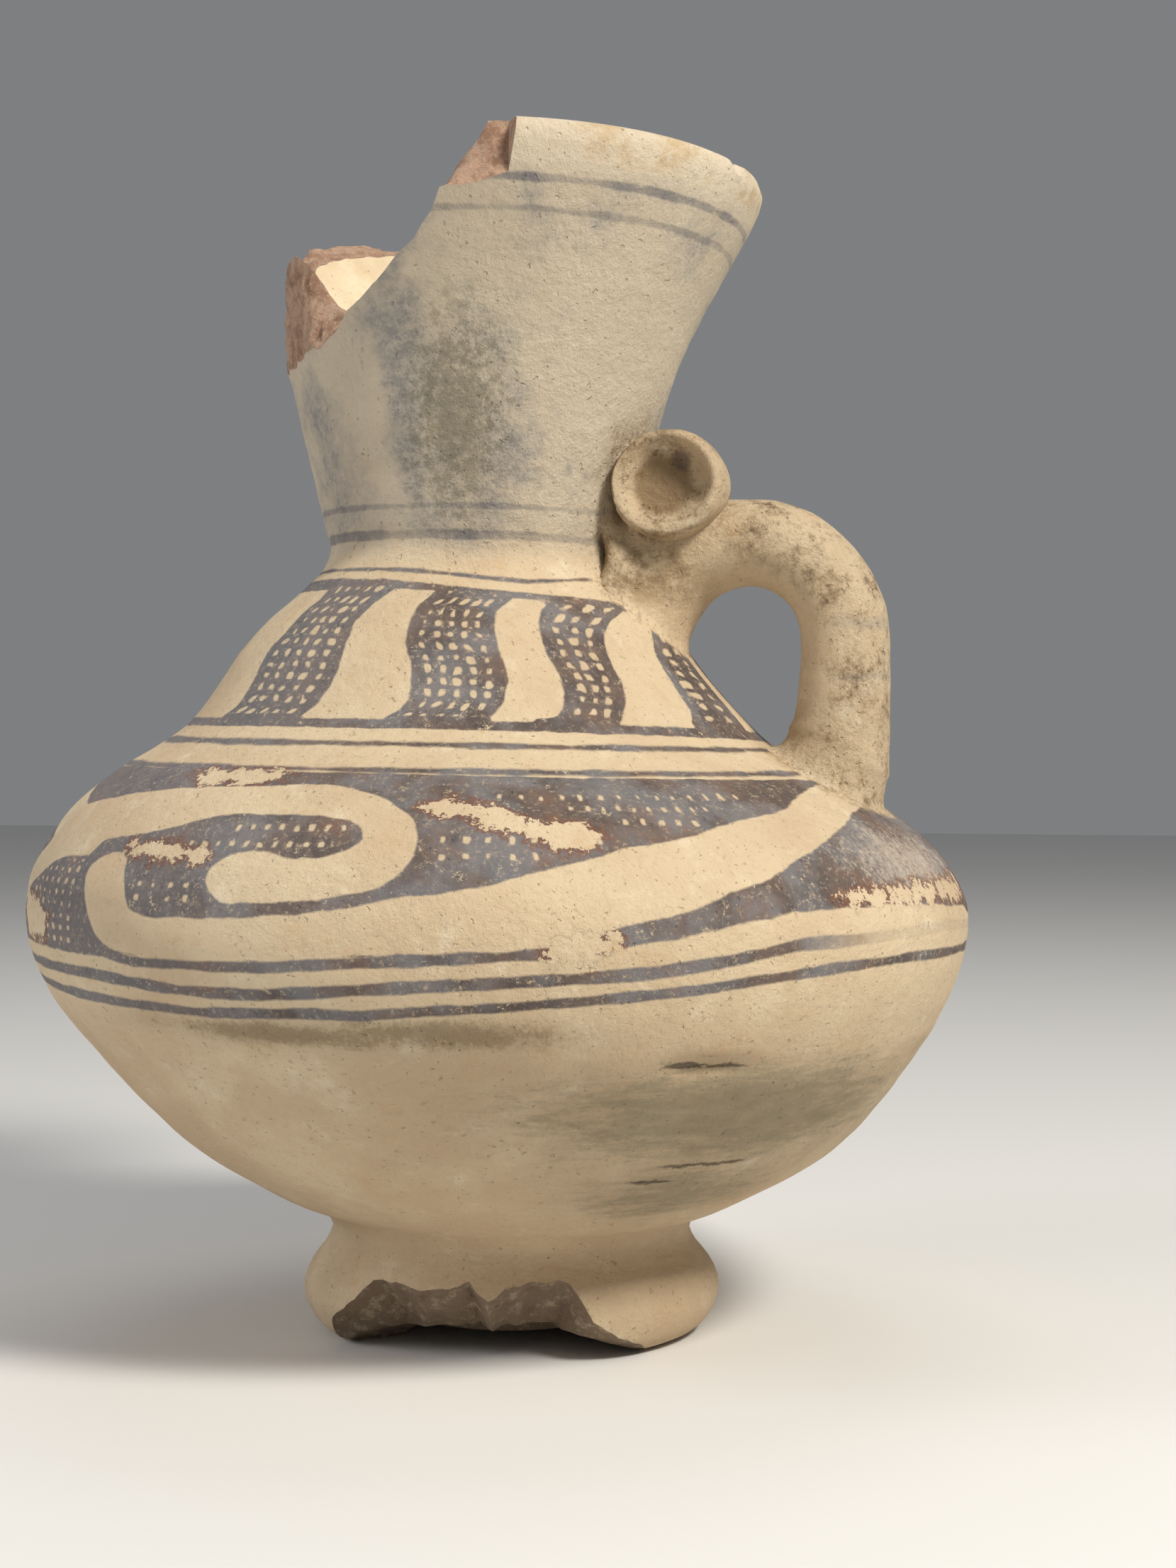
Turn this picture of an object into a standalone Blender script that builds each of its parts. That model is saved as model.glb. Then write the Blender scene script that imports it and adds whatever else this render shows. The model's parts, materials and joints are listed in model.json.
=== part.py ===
"""Small fired-clay pitcher with a broken neck, one loop handle and a round ear beside the handle's root.

Metres, +Z up. The origin is the middle of the foot's resting face and the handle stands towards +X.
The pitcher is one piece of clay: a turned hollow body with a strap handle and an ear joined on, and
with the breaks of the rim and of the foot cut out of it.
"""
import math

import bmesh
import bpy
from mathutils import Matrix, Vector, noise

# Turned body: radii and heights on the outer skin
HEIGHT = 0.240
# A 240th of the height: the lengths in the tables of this file are in these, so that they grow with the pot
UNIT = HEIGHT / 240
RIM_RADIUS = 0.0578
NECK_RADIUS = 0.0310
NECK_HEIGHT = 0.1630
LEDGE_RADIUS = 0.0680
LEDGE_HEIGHT = 0.1204
BELLY_RADIUS = 0.0982
BELLY_HEIGHT = 0.0870
WAIST_RADIUS = 0.0377
WAIST_HEIGHT = 0.0218
FOOT_RADIUS = 0.0440
FOOT_BULGE_HEIGHT = 0.0095
BASE_RADIUS = 0.0355

# Walls
WALL = 0.0068
FLOOR_HEIGHT = 0.0290
LIP_HEIGHT = 0.0025
FOOT_RING_WIDTH = 0.0095
RECESS_DEPTH = 0.0060

# Strap handle, in the plane y = 0
HANDLE_REACH = 0.0745
HANDLE_RISE = 0.0013
HANDLE_BEND = 0.0203
HANDLE_THICKNESS = 0.0180
HANDLE_WIDTH = 0.0215
HANDLE_END_DROP = 0.0129
ROOT_SWELL = 1.22
ROOT_BURY = 0.0025
# Its upper run, from the neck to the bend: share of the way, drop below the crown, thickness
HANDLE_RUN = ((0.0, 4.5, ROOT_SWELL * 1.04), (0.30, 2.8, ROOT_SWELL), (0.49, 1.7, 1.13), (0.6, 1.1, 1.085),
              (0.68, 0.7, 1.05), (0.8, 0.45, 1.03))
# Its lower run, from the bend to the shoulder: share of the way, lean outwards, thickness
HANDLE_DROP = ((0.22, 0.3, 1.0), (0.43, 0.2, 1.0), (0.62, -0.4, 1.05), (0.76, -1.2, 1.14),
               (1.0, -4.0, ROOT_SWELL))
# Clay smeared into the two corners of the loop: how far the underside of the upper run is drawn down, by
# distance from the axis, and the inner side of the lower run towards the axis, by height
UPPER_WEB = ((28, 9.0), (36, 12.0), (41, 12.0), (43.8, 9.5), (45.4, 4.9), (48.9, 1.6), (54, 0.0))
LOWER_WEB = ((112, 9.0), (118, 8.0), (120, 6.0), (122.3, 3.9), (128.2, 1.7), (135, 0.7), (141, 0.0))

# Round ear beside the handle's upper root
EAR_RADIUS = 0.0118
EAR_THICKNESS = 0.0140
EAR_FACE_OFFSET = 0.0170
EAR_REACH = 0.0402
EAR_RISE = 0.0112
EAR_EDGE = 0.0034
EAR_DISH = 0.0030
EAR_SQUASH = 0.96
# Steps of each dish: how far in from the step before, by share of the edge, and how deep, by share of the
# whole dish
EAR_DISH_STEPS = ((0.35, 0.35), (0.8, 0.85), (0.5, 1.0))

# Facets
TURN_STEPS = 60
HANDLE_SIDES = 4
HANDLE_ARC_STEPS = 7
EAR_SIDES = 22

# The hand-thrown body is not quite true: by share of the height, how far a level's centre stands off the
# axis towards DRIFT_ANGLE, how far the level drops on that side and how far it rises towards -Y, both in
# degrees.
DRIFT_ANGLE = math.radians(17)
DRIFT = ((0.00, 3.4), (0.09, 3.4), (0.19, 2.0), (0.29, 0.5), (0.38, 0.8), (0.50, -2.4), (0.58, -4.6),
         (0.66, -3.8), (0.73, -3.7), (0.85, -3.0), (1.00, -1.5))
SLOPE = ((0.00, 0.0), (0.04, 0.0), (0.10, 1.0), (0.19, 1.9), (0.29, 1.6), (0.42, 0.7), (0.52, 2.2),
         (0.60, 3.0), (0.69, 1.0), (0.83, 0.3), (1.00, 0.0))
TIP = ((0.00, 0.0), (0.69, 0.0), (1.00, 2.2))

# Break of the neck, going round from the handle's right: angle in degrees, then how far below the whole
# rim the outer and the inner edge of the broken wall lie.
RIM_BREAK = (
    (-67, -3, -3), (-68.5, 10, -3), (-73, 11.4, 0), (-75, 11.8, 3.2), (-79.6, 12.3, 7.4), (-82.4, 12.6, 11.6),
    (-84.4, 16.4, 15), (-88.8, 20.6, 19.4), (-95, 24.5, 23.7), (-100, 27.8, 26.6), (-106, 30.8, 29.4),
    (-111, 33, 31.5), (-114, 35.2, 31.8), (-120, 37.3, 31), (-124, 38.2, 29.6), (-127, 38.8, 27.1),
    (-130, 39.4, 22.5), (-134, 39.7, 19.9), (-138, 40.3, 18.6), (-147, 40.6, 19.4), (-156, 40.5, 20.6),
    (-165, 40, 21.6), (-175, 39.5, 21), (-185, 37, 18.6), (-192, 28, 15.2), (-198, 17, 12), (-203, 9, 9.6),
    (-208, 4.6, 8), (-216, 2, 6.2), (-223, 1, 5), (-228, 1.6, 4.5), (-234, 0.6, 2.5), (-240, -0.5, 0.5),
    (-244, -3, -3))
BREAK_STEP = 3.0
CUT_MARGIN = 0.012
CORE_RADIUS = 0.012
BREAK_ROUGHNESS = 0.0007

# Chips of the foot's front: angle, height of the chip's upper edge, height of its floor, and how far it
# eats in from the outer skin at its upper edge.
FOOT_CHIPS = (
    (-137, 0.5, 0.2, 2), (-131, 6, 2.5, 6), (-124, 9.5, 4.5, 9), (-116, 15, 5.5, 10), (-108, 15.6, 5.5, 10),
    (-99, 14.8, 6, 9.5), (-92, 15.2, 6.5, 9), (-86, 17, 6.5, 10), (-80, 13.5, 5.5, 9), (-75, 16.6, 6.5, 9.5),
    (-66, 17, 7, 10), (-57, 16.5, 6.5, 9), (-52, 9, 4.5, 8), (-44, 5, 3, 7), (-36, 3, 1.6, 5),
    (-29, 0.5, 0.2, 2))
CHIP_STEP = 4.8
CHIP_ROUGHNESS = 0.0008
CHIP_OVERRUN = 0.0040
# Where a chip's middle lies between its upper edge and its floor, inwards and downwards
CHIP_BEND = (0.55, 0.55)

# Grain of the broken faces: how wide its bumps are, and a shift that makes the second push its own
ROUGH_WIDTH = 1 / 240
ROUGH_SHIFT = 37.0

# Finish: pale buff clay
CLAY_COLOUR = (0.55, 0.43, 0.28, 1.0)
CLAY_ROUGHNESS = 0.82

SMOOTH_ANGLE = math.radians(38)
MERGE_DISTANCE = 0.00002
SLIVER = 0.00005


def clear_scene():
    for thing in list(bpy.data.objects):
        bpy.data.objects.remove(thing, do_unlink=True)


def clay():
    material = bpy.data.materials.new("clay")
    material.use_nodes = True
    shader = material.node_tree.nodes["Principled BSDF"]
    shader.inputs["Base Color"].default_value = CLAY_COLOUR
    shader.inputs["Roughness"].default_value = CLAY_ROUGHNESS
    shader.inputs["Metallic"].default_value = 0.0
    return material


def new_object(name, mesh):
    thing = bpy.data.objects.new(name, mesh)
    bpy.context.scene.collection.objects.link(thing)
    return thing


def finish_mesh(name, work):
    """Closes a bmesh into a named object whose faces point outwards."""
    bmesh.ops.remove_doubles(work, verts=work.verts, dist=MERGE_DISTANCE)
    bmesh.ops.recalc_face_normals(work, faces=work.faces)
    if work.calc_volume(signed=True) < 0:
        bmesh.ops.reverse_faces(work, faces=work.faces)
    mesh = bpy.data.meshes.new(name)
    work.to_mesh(mesh)
    work.free()
    return new_object(name, mesh)


def along(table, share):
    """Value at a share of the height, read off a table of (share, value) pairs."""
    for (low, start), (high, end) in zip(table, table[1:]):
        if share <= high:
            return start + (end - start) * max(0.0, share - low) / (high - low)
    return table[-1][1]


def settle(point):
    """Moves a point of the true turned shape to where the uneven pot has it."""
    share = point.z / HEIGHT
    side = Vector((math.cos(DRIFT_ANGLE), math.sin(DRIFT_ANGLE), 0.0))
    across = point.dot(side)
    shifted = point + side * along(DRIFT, share) * UNIT
    shifted.z -= across * math.tan(math.radians(along(SLOPE, share)))
    shifted.z -= point.y * math.tan(math.radians(along(TIP, share)))
    return shifted


def stretch(start, end, shares):
    """Profile points between two stations, each a share of the way in radius and in height."""
    return [(start[0] + (end[0] - start[0]) * a, start[1] + (end[1] - start[1]) * b) for a, b in shares]


def foot_curve():
    """The foot's rounded outer skin, from its base edge up to the waist."""
    lower = [(BASE_RADIUS + (FOOT_RADIUS - BASE_RADIUS) * math.sin(math.radians(turn)),
              FOOT_BULGE_HEIGHT * (1 - math.cos(math.radians(turn)))) for turn in (0, 30, 60, 90)]
    upper = []
    for share in (0.35, 0.7, 1.0):
        ease = (1 - math.cos(math.pi * share)) / 2
        upper.append((FOOT_RADIUS + (WAIST_RADIUS - FOOT_RADIUS) * ease,
                      FOOT_BULGE_HEIGHT + (WAIST_HEIGHT - FOOT_BULGE_HEIGHT) * share))
    return lower + upper


def body_curve():
    """The outer skin above the waist, up to the widest point of the rim."""
    waist = (WAIST_RADIUS, WAIST_HEIGHT)
    belly = (BELLY_RADIUS, BELLY_HEIGHT)
    ledge = (LEDGE_RADIUS, LEDGE_HEIGHT)
    neck = (NECK_RADIUS, NECK_HEIGHT)
    rim = (RIM_RADIUS, HEIGHT - LIP_HEIGHT)
    bowl = stretch(waist, belly, ((0.038, 0.049), (0.137, 0.083), (0.319, 0.172), (0.493, 0.273),
                                  (0.653, 0.414), (0.798, 0.580), (0.889, 0.700), (0.952, 0.810),
                                  (0.987, 0.905)))
    shoulder = stretch(belly, ledge, ((0.026, 0.180), (0.126, 0.374), (0.377, 0.640), (0.722, 0.862)))
    collar = stretch(ledge, neck, ((0.184, 0.107), (0.351, 0.269), (0.535, 0.478), (0.676, 0.629),
                                   (0.784, 0.724), (0.881, 0.814), (0.957, 0.896)))
    funnel = stretch(neck, rim, ((0.037, 0.065), (0.097, 0.160), (0.209, 0.300), (0.343, 0.475),
                                 (0.519, 0.640), (0.739, 0.799), (0.925, 0.926)))
    return bowl + [belly] + shoulder + [ledge] + collar + [neck] + funnel + [rim]


def inward(curve, distance):
    """The curve moved towards the axis by a distance, square to itself."""
    moved = []
    for index, (radius, height) in enumerate(curve):
        before = curve[max(0, index - 1)]
        after = curve[min(len(curve) - 1, index + 1)]
        step = Vector((after[0] - before[0], after[1] - before[1])).normalized()
        moved.append((radius - step.y * distance, height + step.x * distance))
    return moved


def radius_at(curve, height):
    """Radius of a rising curve at a height."""
    for (low_radius, low), (high_radius, high) in zip(curve, curve[1:]):
        if low <= height <= high:
            return low_radius + (high_radius - low_radius) * (height - low) / (high - low)
    return curve[-1][0]


def turned(name, curve):
    """Spins a profile that starts and ends on the axis into a closed body, then settles it."""
    work = bmesh.new()
    verts = [work.verts.new((radius, 0.0, height)) for radius, height in curve]
    edges = [work.edges.new(pair) for pair in zip(verts, verts[1:])]
    bmesh.ops.spin(work, geom=verts + edges, cent=(0, 0, 0), axis=(0, 0, 1), angle=2 * math.pi,
                   steps=TURN_STEPS, use_merge=True)
    for vert in work.verts:
        vert.co = settle(vert.co)
    return finish_mesh(name, work)


def outer_solid():
    ring = BASE_RADIUS - FOOT_RING_WIDTH
    underside = [(0.0, RECESS_DEPTH), (ring * 0.55, RECESS_DEPTH * 0.9), (ring * 0.88, RECESS_DEPTH * 0.5),
                 (ring, 0.0)]
    lip = [(RIM_RADIUS - 0.3 * LIP_HEIGHT, HEIGHT - 0.3 * LIP_HEIGHT), (RIM_RADIUS - LIP_HEIGHT, HEIGHT),
           (0.0, HEIGHT)]
    return turned("pitcher", underside + foot_curve() + body_curve() + lip)


def cavity_curve():
    """The inner skin from the middle of the floor up to the mouth."""
    skin = [point for point in inward(body_curve(), WALL) if point[1] > FLOOR_HEIGHT + WALL * 0.35]
    skin = skin[:-1:2] + skin[-1:]
    start = skin[0][0]
    floor = [(0.0, FLOOR_HEIGHT), (start * 0.55, FLOOR_HEIGHT + WALL * 0.05)]
    return floor + skin


def cavity_solid():
    skin = cavity_curve()
    above = HEIGHT + CUT_MARGIN
    return turned("cavity", skin + [(skin[-1][0] + LIP_HEIGHT, above), (0.0, above)])


def crown_height():
    return NECK_HEIGHT + HANDLE_RISE


def handle_path():
    """Centre line of the handle as (x, z, swell), from inside the neck's wall to inside the shoulder's."""
    crown = crown_height()
    bend_x = HANDLE_REACH - HANDLE_BEND
    bend_z = crown - HANDLE_BEND
    start = NECK_RADIUS - ROOT_BURY
    run = bend_x - start
    path = [(start + run * share, crown - drop * UNIT, swell) for share, drop, swell in HANDLE_RUN]
    for index in range(HANDLE_ARC_STEPS + 1):
        turn = math.radians(90) * index / HANDLE_ARC_STEPS
        path.append((bend_x + HANDLE_BEND * math.sin(turn), bend_z + HANDLE_BEND * math.cos(turn), 1.0))
    length = bend_z - (LEDGE_HEIGHT - HANDLE_END_DROP)
    path += [(HANDLE_REACH + lean * UNIT, bend_z - length * share, swell)
             for share, lean, swell in HANDLE_DROP]
    return path


def handle():
    curve = bpy.data.curves.new("handle", "CURVE")
    curve.dimensions = "3D"
    curve.bevel_depth = HANDLE_THICKNESS / 2
    curve.bevel_resolution = HANDLE_SIDES
    curve.use_fill_caps = True
    path = handle_path()
    spline = curve.splines.new("POLY")
    spline.points.add(len(path) - 1)
    for point, (x, z, swell) in zip(spline.points, path):
        point.co = (x, 0.0, z, 1.0)
        point.radius = swell
    rod = new_object("handle rod", curve)
    work = bmesh.new()
    work.from_mesh(rod.evaluated_get(bpy.context.evaluated_depsgraph_get()).to_mesh())
    bpy.data.objects.remove(rod, do_unlink=True)
    for vert in work.verts:
        vert.co.y *= HANDLE_WIDTH / HANDLE_THICKNESS
        x, _, z = vert.co
        under = (crown_height() - z) / HANDLE_THICKNESS - 0.17
        inner = 2 * (HANDLE_REACH - x) / HANDLE_THICKNESS
        if x < HANDLE_REACH - HANDLE_BEND:
            vert.co.z -= along(UPPER_WEB, x / UNIT) * UNIT * min(1.0, max(0.0, 1.8 * under)) ** 2
        else:
            vert.co.x -= along(LOWER_WEB, z / UNIT) * UNIT * min(1.0, max(0.0, inner)) ** 2
    return finish_mesh("handle", work)


def ear():
    """A thick round disc, dished on both faces, standing beside the handle's upper root."""
    work = bmesh.new()
    bmesh.ops.create_cone(work, cap_ends=True, segments=EAR_SIDES, radius1=EAR_RADIUS, radius2=EAR_RADIUS,
                          depth=EAR_THICKNESS)
    rims = [edge for edge in work.edges if edge.verts[0].co.z * edge.verts[1].co.z > 0]
    bmesh.ops.bevel(work, geom=rims, offset=EAR_EDGE, segments=3, affect="EDGES", profile=0.5)
    for side in (1, -1):
        for inset, depth in EAR_DISH_STEPS:
            face = max(work.faces, key=lambda item: side * item.normal.z * item.calc_area())
            bmesh.ops.inset_region(work, faces=[face], thickness=inset * EAR_EDGE, depth=0.0)
            for vert in face.verts:
                vert.co.z = side * (EAR_THICKNESS / 2 - EAR_DISH * depth)
    middle = EAR_FACE_OFFSET - EAR_THICKNESS / 2
    place = Matrix.Translation((EAR_REACH, -middle, crown_height() + EAR_RISE))
    turn = Matrix.Rotation(math.radians(90), 4, "X")
    squash = Matrix.Diagonal((1.0, EAR_SQUASH, 1.0, 1.0))
    bmesh.ops.transform(work, matrix=place @ turn @ squash, verts=work.verts)
    return finish_mesh("ear", work)


def spread(rows, step):
    """Rows keyed by an angle, filled in between so that no two are further apart than a step."""
    filled = []
    for first, last in zip(rows, rows[1:]):
        count = max(1, math.ceil(abs(last[0] - first[0]) / step))
        for index in range(count):
            share = index / count
            filled.append(tuple(a + (b - a) * share for a, b in zip(first, last)))
    return filled + [rows[-1]]


def loft(name, sections):
    """Joins equal rings of points into a closed bar with flat ends."""
    work = bmesh.new()
    rings = [[work.verts.new(point) for point in section] for section in sections]
    count = len(rings[0])
    for ring, following in zip(rings, rings[1:]):
        for index in range(count):
            other = (index + 1) % count
            work.faces.new((ring[index], ring[other], following[other], following[index]))
    work.faces.new(rings[0])
    work.faces.new(list(reversed(rings[-1])))
    bmesh.ops.triangulate(work, faces=work.faces)
    return finish_mesh(name, work)


def polar(angle, radius, height):
    turn = math.radians(angle)
    return settle(Vector((radius * math.cos(turn), radius * math.sin(turn), height)))


def jagged(angle, radius, height, size):
    """A point of a broken face, pushed in or out and up or down by a small amount that never changes."""
    place = Vector((math.radians(angle) * radius, radius, height)) / ROUGH_WIDTH
    out = noise.noise(place) * size
    up = noise.noise(place + Vector((0, 0, ROUGH_SHIFT))) * size
    return polar(angle, radius + out, height + up)


def rim_break():
    """What is missing of the neck: a bar over the broken stretch whose underside is the broken face."""
    outside = body_curve()
    inside = inward(outside, WALL)
    top = HEIGHT + CUT_MARGIN
    clear = RIM_RADIUS + CUT_MARGIN
    sections = []
    for angle, outer_drop, inner_drop in spread(RIM_BREAK, BREAK_STEP):
        outer = HEIGHT - outer_drop * UNIT
        inner = HEIGHT - inner_drop * UNIT
        outer_radius = radius_at(outside, outer)
        inner_radius = radius_at(inside, inner)
        middle_radius, middle = (outer_radius + inner_radius) / 2, (outer + inner) / 2
        sections.append([polar(angle, CORE_RADIUS, top), polar(angle, clear, top), polar(angle, clear, outer),
                         jagged(angle, outer_radius, outer, BREAK_ROUGHNESS),
                         jagged(angle, middle_radius, middle, BREAK_ROUGHNESS * 1.5),
                         jagged(angle, inner_radius, inner, BREAK_ROUGHNESS),
                         polar(angle, CORE_RADIUS, inner)])
    return loft("rim break", sections)


def foot_break():
    """What is missing of the foot's front."""
    outside = foot_curve()
    clear = FOOT_RADIUS + CUT_MARGIN
    inside = BASE_RADIUS - FOOT_RING_WIDTH - CHIP_OVERRUN
    sections = []
    for angle, edge, floor, depth in spread(FOOT_CHIPS, CHIP_STEP):
        edge, floor, depth = edge * UNIT, floor * UNIT, depth * UNIT
        skin = radius_at(outside, edge)
        size = CHIP_ROUGHNESS * edge / FOOT_BULGE_HEIGHT
        middle = edge + (floor - edge) * CHIP_BEND[1]
        sections.append([polar(angle, clear, -CUT_MARGIN), polar(angle, clear, edge),
                         jagged(angle, skin, edge, size),
                         jagged(angle, skin - depth * CHIP_BEND[0], middle, size),
                         jagged(angle, skin - depth, floor, size),
                         polar(angle, inside, floor * 0.9), polar(angle, inside, -CUT_MARGIN)])
    return loft("foot break", sections)


def combine(body, other, operation):
    modifier = body.modifiers.new(other.name, "BOOLEAN")
    modifier.operation = operation
    modifier.solver = "EXACT"
    modifier.object = other
    depsgraph = bpy.context.evaluated_depsgraph_get()
    result = bpy.data.meshes.new_from_object(body.evaluated_get(depsgraph))
    body.modifiers.clear()
    old = body.data
    body.data = result
    bpy.data.meshes.remove(old)
    bpy.data.objects.remove(other, do_unlink=True)


def tidy_mesh(body):
    """Merges the slivers that the cuts leave behind and shades the round skins smooth."""
    work = bmesh.new()
    work.from_mesh(body.data)
    bmesh.ops.dissolve_degenerate(work, dist=SLIVER, edges=work.edges)
    bmesh.ops.triangulate(work, faces=[face for face in work.faces if len(face.verts) > 4])
    work.to_mesh(body.data)
    work.free()
    body.data.shade_smooth()
    body.data.set_sharp_from_angle(angle=SMOOTH_ANGLE)


def pitcher():
    body = outer_solid()
    combine(body, handle(), "UNION")
    combine(body, ear(), "UNION")
    combine(body, cavity_solid(), "DIFFERENCE")
    combine(body, rim_break(), "DIFFERENCE")
    combine(body, foot_break(), "DIFFERENCE")
    tidy_mesh(body)
    body.data.materials.clear()
    body.data.materials.append(clay())
    return body


clear_scene()
pitcher()
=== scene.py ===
"""The looks of a small fired-clay pitcher: pale buff clay, painted in dark brown bands, waves and scrolls,
worn, stained and broken at the neck and the foot.

The body is turned at full detail in millimetres along the same stations as the solid, then pushed slightly
out of true, joined to its handle and ear, hollowed and broken. Paint, flaking and dirt are read by the
shader from distances that are worked out here for every point of the skin.
"""

import json
import math

import bmesh
import bpy
import numpy as np
from mathutils import Euler, Matrix, Vector, kdtree, noise

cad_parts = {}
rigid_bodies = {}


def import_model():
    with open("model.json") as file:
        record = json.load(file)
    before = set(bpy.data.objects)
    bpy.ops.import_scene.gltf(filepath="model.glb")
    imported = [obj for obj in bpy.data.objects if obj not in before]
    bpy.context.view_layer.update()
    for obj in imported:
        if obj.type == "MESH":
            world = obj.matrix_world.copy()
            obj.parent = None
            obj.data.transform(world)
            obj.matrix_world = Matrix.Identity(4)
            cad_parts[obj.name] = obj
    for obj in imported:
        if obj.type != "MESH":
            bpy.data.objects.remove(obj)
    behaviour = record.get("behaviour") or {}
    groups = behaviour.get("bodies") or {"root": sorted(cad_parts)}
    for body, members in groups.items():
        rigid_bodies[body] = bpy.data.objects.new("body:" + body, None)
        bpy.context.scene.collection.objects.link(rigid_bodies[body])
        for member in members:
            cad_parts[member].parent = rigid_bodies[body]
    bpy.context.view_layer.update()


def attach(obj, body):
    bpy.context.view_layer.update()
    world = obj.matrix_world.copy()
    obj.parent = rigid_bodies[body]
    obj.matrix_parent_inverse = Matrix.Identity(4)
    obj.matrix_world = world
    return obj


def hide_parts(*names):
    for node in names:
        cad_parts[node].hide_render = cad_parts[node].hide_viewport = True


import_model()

MM = 0.001

# Outer skin of the turned body, from the foot's edge to the lip: radius and height in millimetres
SKIN = (
    (35.5, 0.0), (39.75, 1.27), (42.86, 4.75), (44.0, 9.5), (42.28, 13.8), (39.0, 18.11), (37.7, 21.8),
    (40.0, 24.99), (45.99, 27.21), (57.0, 33.01), (67.53, 39.6), (77.21, 48.79), (85.98, 59.62),
    (91.48, 67.44), (95.3, 74.61), (97.41, 80.81), (98.2, 87.0), (97.41, 93.01), (94.39, 99.49),
    (86.81, 108.38), (76.4, 115.79), (68.0, 120.4), (61.19, 124.96), (55.01, 131.86), (48.2, 140.76),
    (42.99, 147.2), (38.99, 151.24), (35.4, 155.08), (32.59, 158.57), (31.0, 163.0), (31.99, 167.84),
    (33.6, 174.92), (36.6, 185.35), (40.19, 198.39), (44.91, 210.68), (50.81, 222.53), (55.79, 231.99),
    (57.8, 237.5), (57.05, 239.25), (55.3, 240.0))
UNDERSIDE = ((0.0, 6.0), (14.3, 5.4), (22.88, 3.0), (26.0, 0.0), (28.5, 0.0), (31.5, 0.0))
HEIGHT = 240.0
WALL = 6.8
FLOOR_HEIGHT = 29.0
CUT_MARGIN = 12.0
CORE_RADIUS = 12.0
RIM_RADIUS = 57.8
FOOT_RADIUS = 44.0
TURN_STEPS = 360
INNER_STEPS = 132
SMOOTH_ANGLE = math.radians(42)
# Places of the two finishes, the body's and the handle's, that meet along a joint
JOINED = {0, 1}

# How far apart rows of points stand along the skin, by height in millimetres
ROW_SPACING = ((0, 1.5), (22, 2.4), (60, 1.9), (76, 1.25), (118, 1.15), (156, 1.3), (170, 2.0), (240, 2.0))

# The body is not quite true, as in the solid: by share of the height, the shift of a level's centre towards
# the handle, the drop of the level on that side, and its rise towards -Y.
DRIFT_ANGLE = math.radians(17)
DRIFT = ((0.00, 3.4), (0.09, 3.4), (0.19, 2.0), (0.29, 0.5), (0.38, 0.8), (0.50, -2.4), (0.58, -4.6),
         (0.66, -3.8), (0.73, -3.7), (0.85, -3.0), (1.00, -1.5))
SLOPE = ((0.00, 0.0), (0.04, 0.0), (0.10, 1.0), (0.19, 1.9), (0.29, 1.6), (0.42, 0.7), (0.52, 2.2),
         (0.60, 3.0), (0.69, 1.0), (0.83, 0.3), (1.00, 0.0))
TIP = ((0.00, 0.0), (0.69, 0.0), (1.00, 2.2))

# Strap handle in the plane y = 0 and the round ear beside its upper root
HANDLE_REACH = 74.5
HANDLE_CROWN = 164.3
HANDLE_BEND = 20.3
HANDLE_THICKNESS = 18.0
HANDLE_WIDTH = 21.5
HANDLE_END_HEIGHT = 107.5
NECK_RADIUS = 31.0
ROOT_BURY = 2.5
# Its lower run, from the bend to the shoulder: share of the way, lean outwards, thickness
HANDLE_DROP = ((0.22, 0.3, 1.0), (0.43, 0.2, 1.0), (0.62, -0.4, 1.05), (0.76, -1.2, 1.14), (1.0, -4.0, 1.26))
# Clay smeared into the two corners of the loop, as in the solid: how far the underside of the upper run is
# drawn down, by distance from the axis, and the inner side of the lower run in, by height
UPPER_WEB = ((28, 9.0), (36, 12.0), (41, 12.0), (43.8, 9.5), (45.4, 4.9), (48.9, 1.6), (54, 0.0))
LOWER_WEB = ((112, 9.0), (118, 8.0), (120, 6.0), (122.3, 3.9), (128.2, 1.7), (135, 0.7), (141, 0.0))
EAR_RADIUS = 11.8
EAR_THICKNESS = 14.0
EAR_FACE_OFFSET = 17.0
EAR_PLACE = (40.2, 175.5)
EAR_SQUASH = 0.96
EAR_SIDES = 40
# Steps of each dish, from the edge to the middle: how far in and how much deeper
EAR_STEPS = ((2.0, 0.0), (1.2, 1.3), (1.6, 2.0), (2.2, 1.0), (2.4, 0.3))

# Break of the neck: angle in degrees, then how far below the whole rim its outer and inner edges lie
RIM_BREAK = (
    (-67, -3, -3), (-68.5, 10, -3), (-73, 11.4, 0), (-75, 11.8, 3.2), (-79.6, 12.3, 7.4),
    (-82.4, 12.6, 11.6), (-84.4, 16.4, 15), (-88.8, 20.6, 19.4), (-95, 24.5, 23.7), (-100, 27.8, 26.6),
    (-106, 30.8, 29.4), (-111, 33, 31.5), (-114, 35.2, 31.8), (-120, 37.3, 31), (-124, 38.2, 29.6),
    (-127, 38.8, 27.1), (-130, 39.4, 22.5), (-134, 39.7, 19.9), (-138, 40.3, 18.6), (-147, 40.6, 19.4),
    (-156, 40.5, 20.6), (-165, 40, 21.6), (-175, 39.5, 21), (-185, 37, 18.6), (-192, 28, 15.2),
    (-198, 17, 12), (-203, 9, 9.6), (-208, 4.6, 8), (-216, 2, 6.2), (-223, 1, 5), (-228, 1.6, 4.5),
    (-234, 0.6, 2.5), (-240, -0.5, 0.5), (-244, -3, -3))
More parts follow.
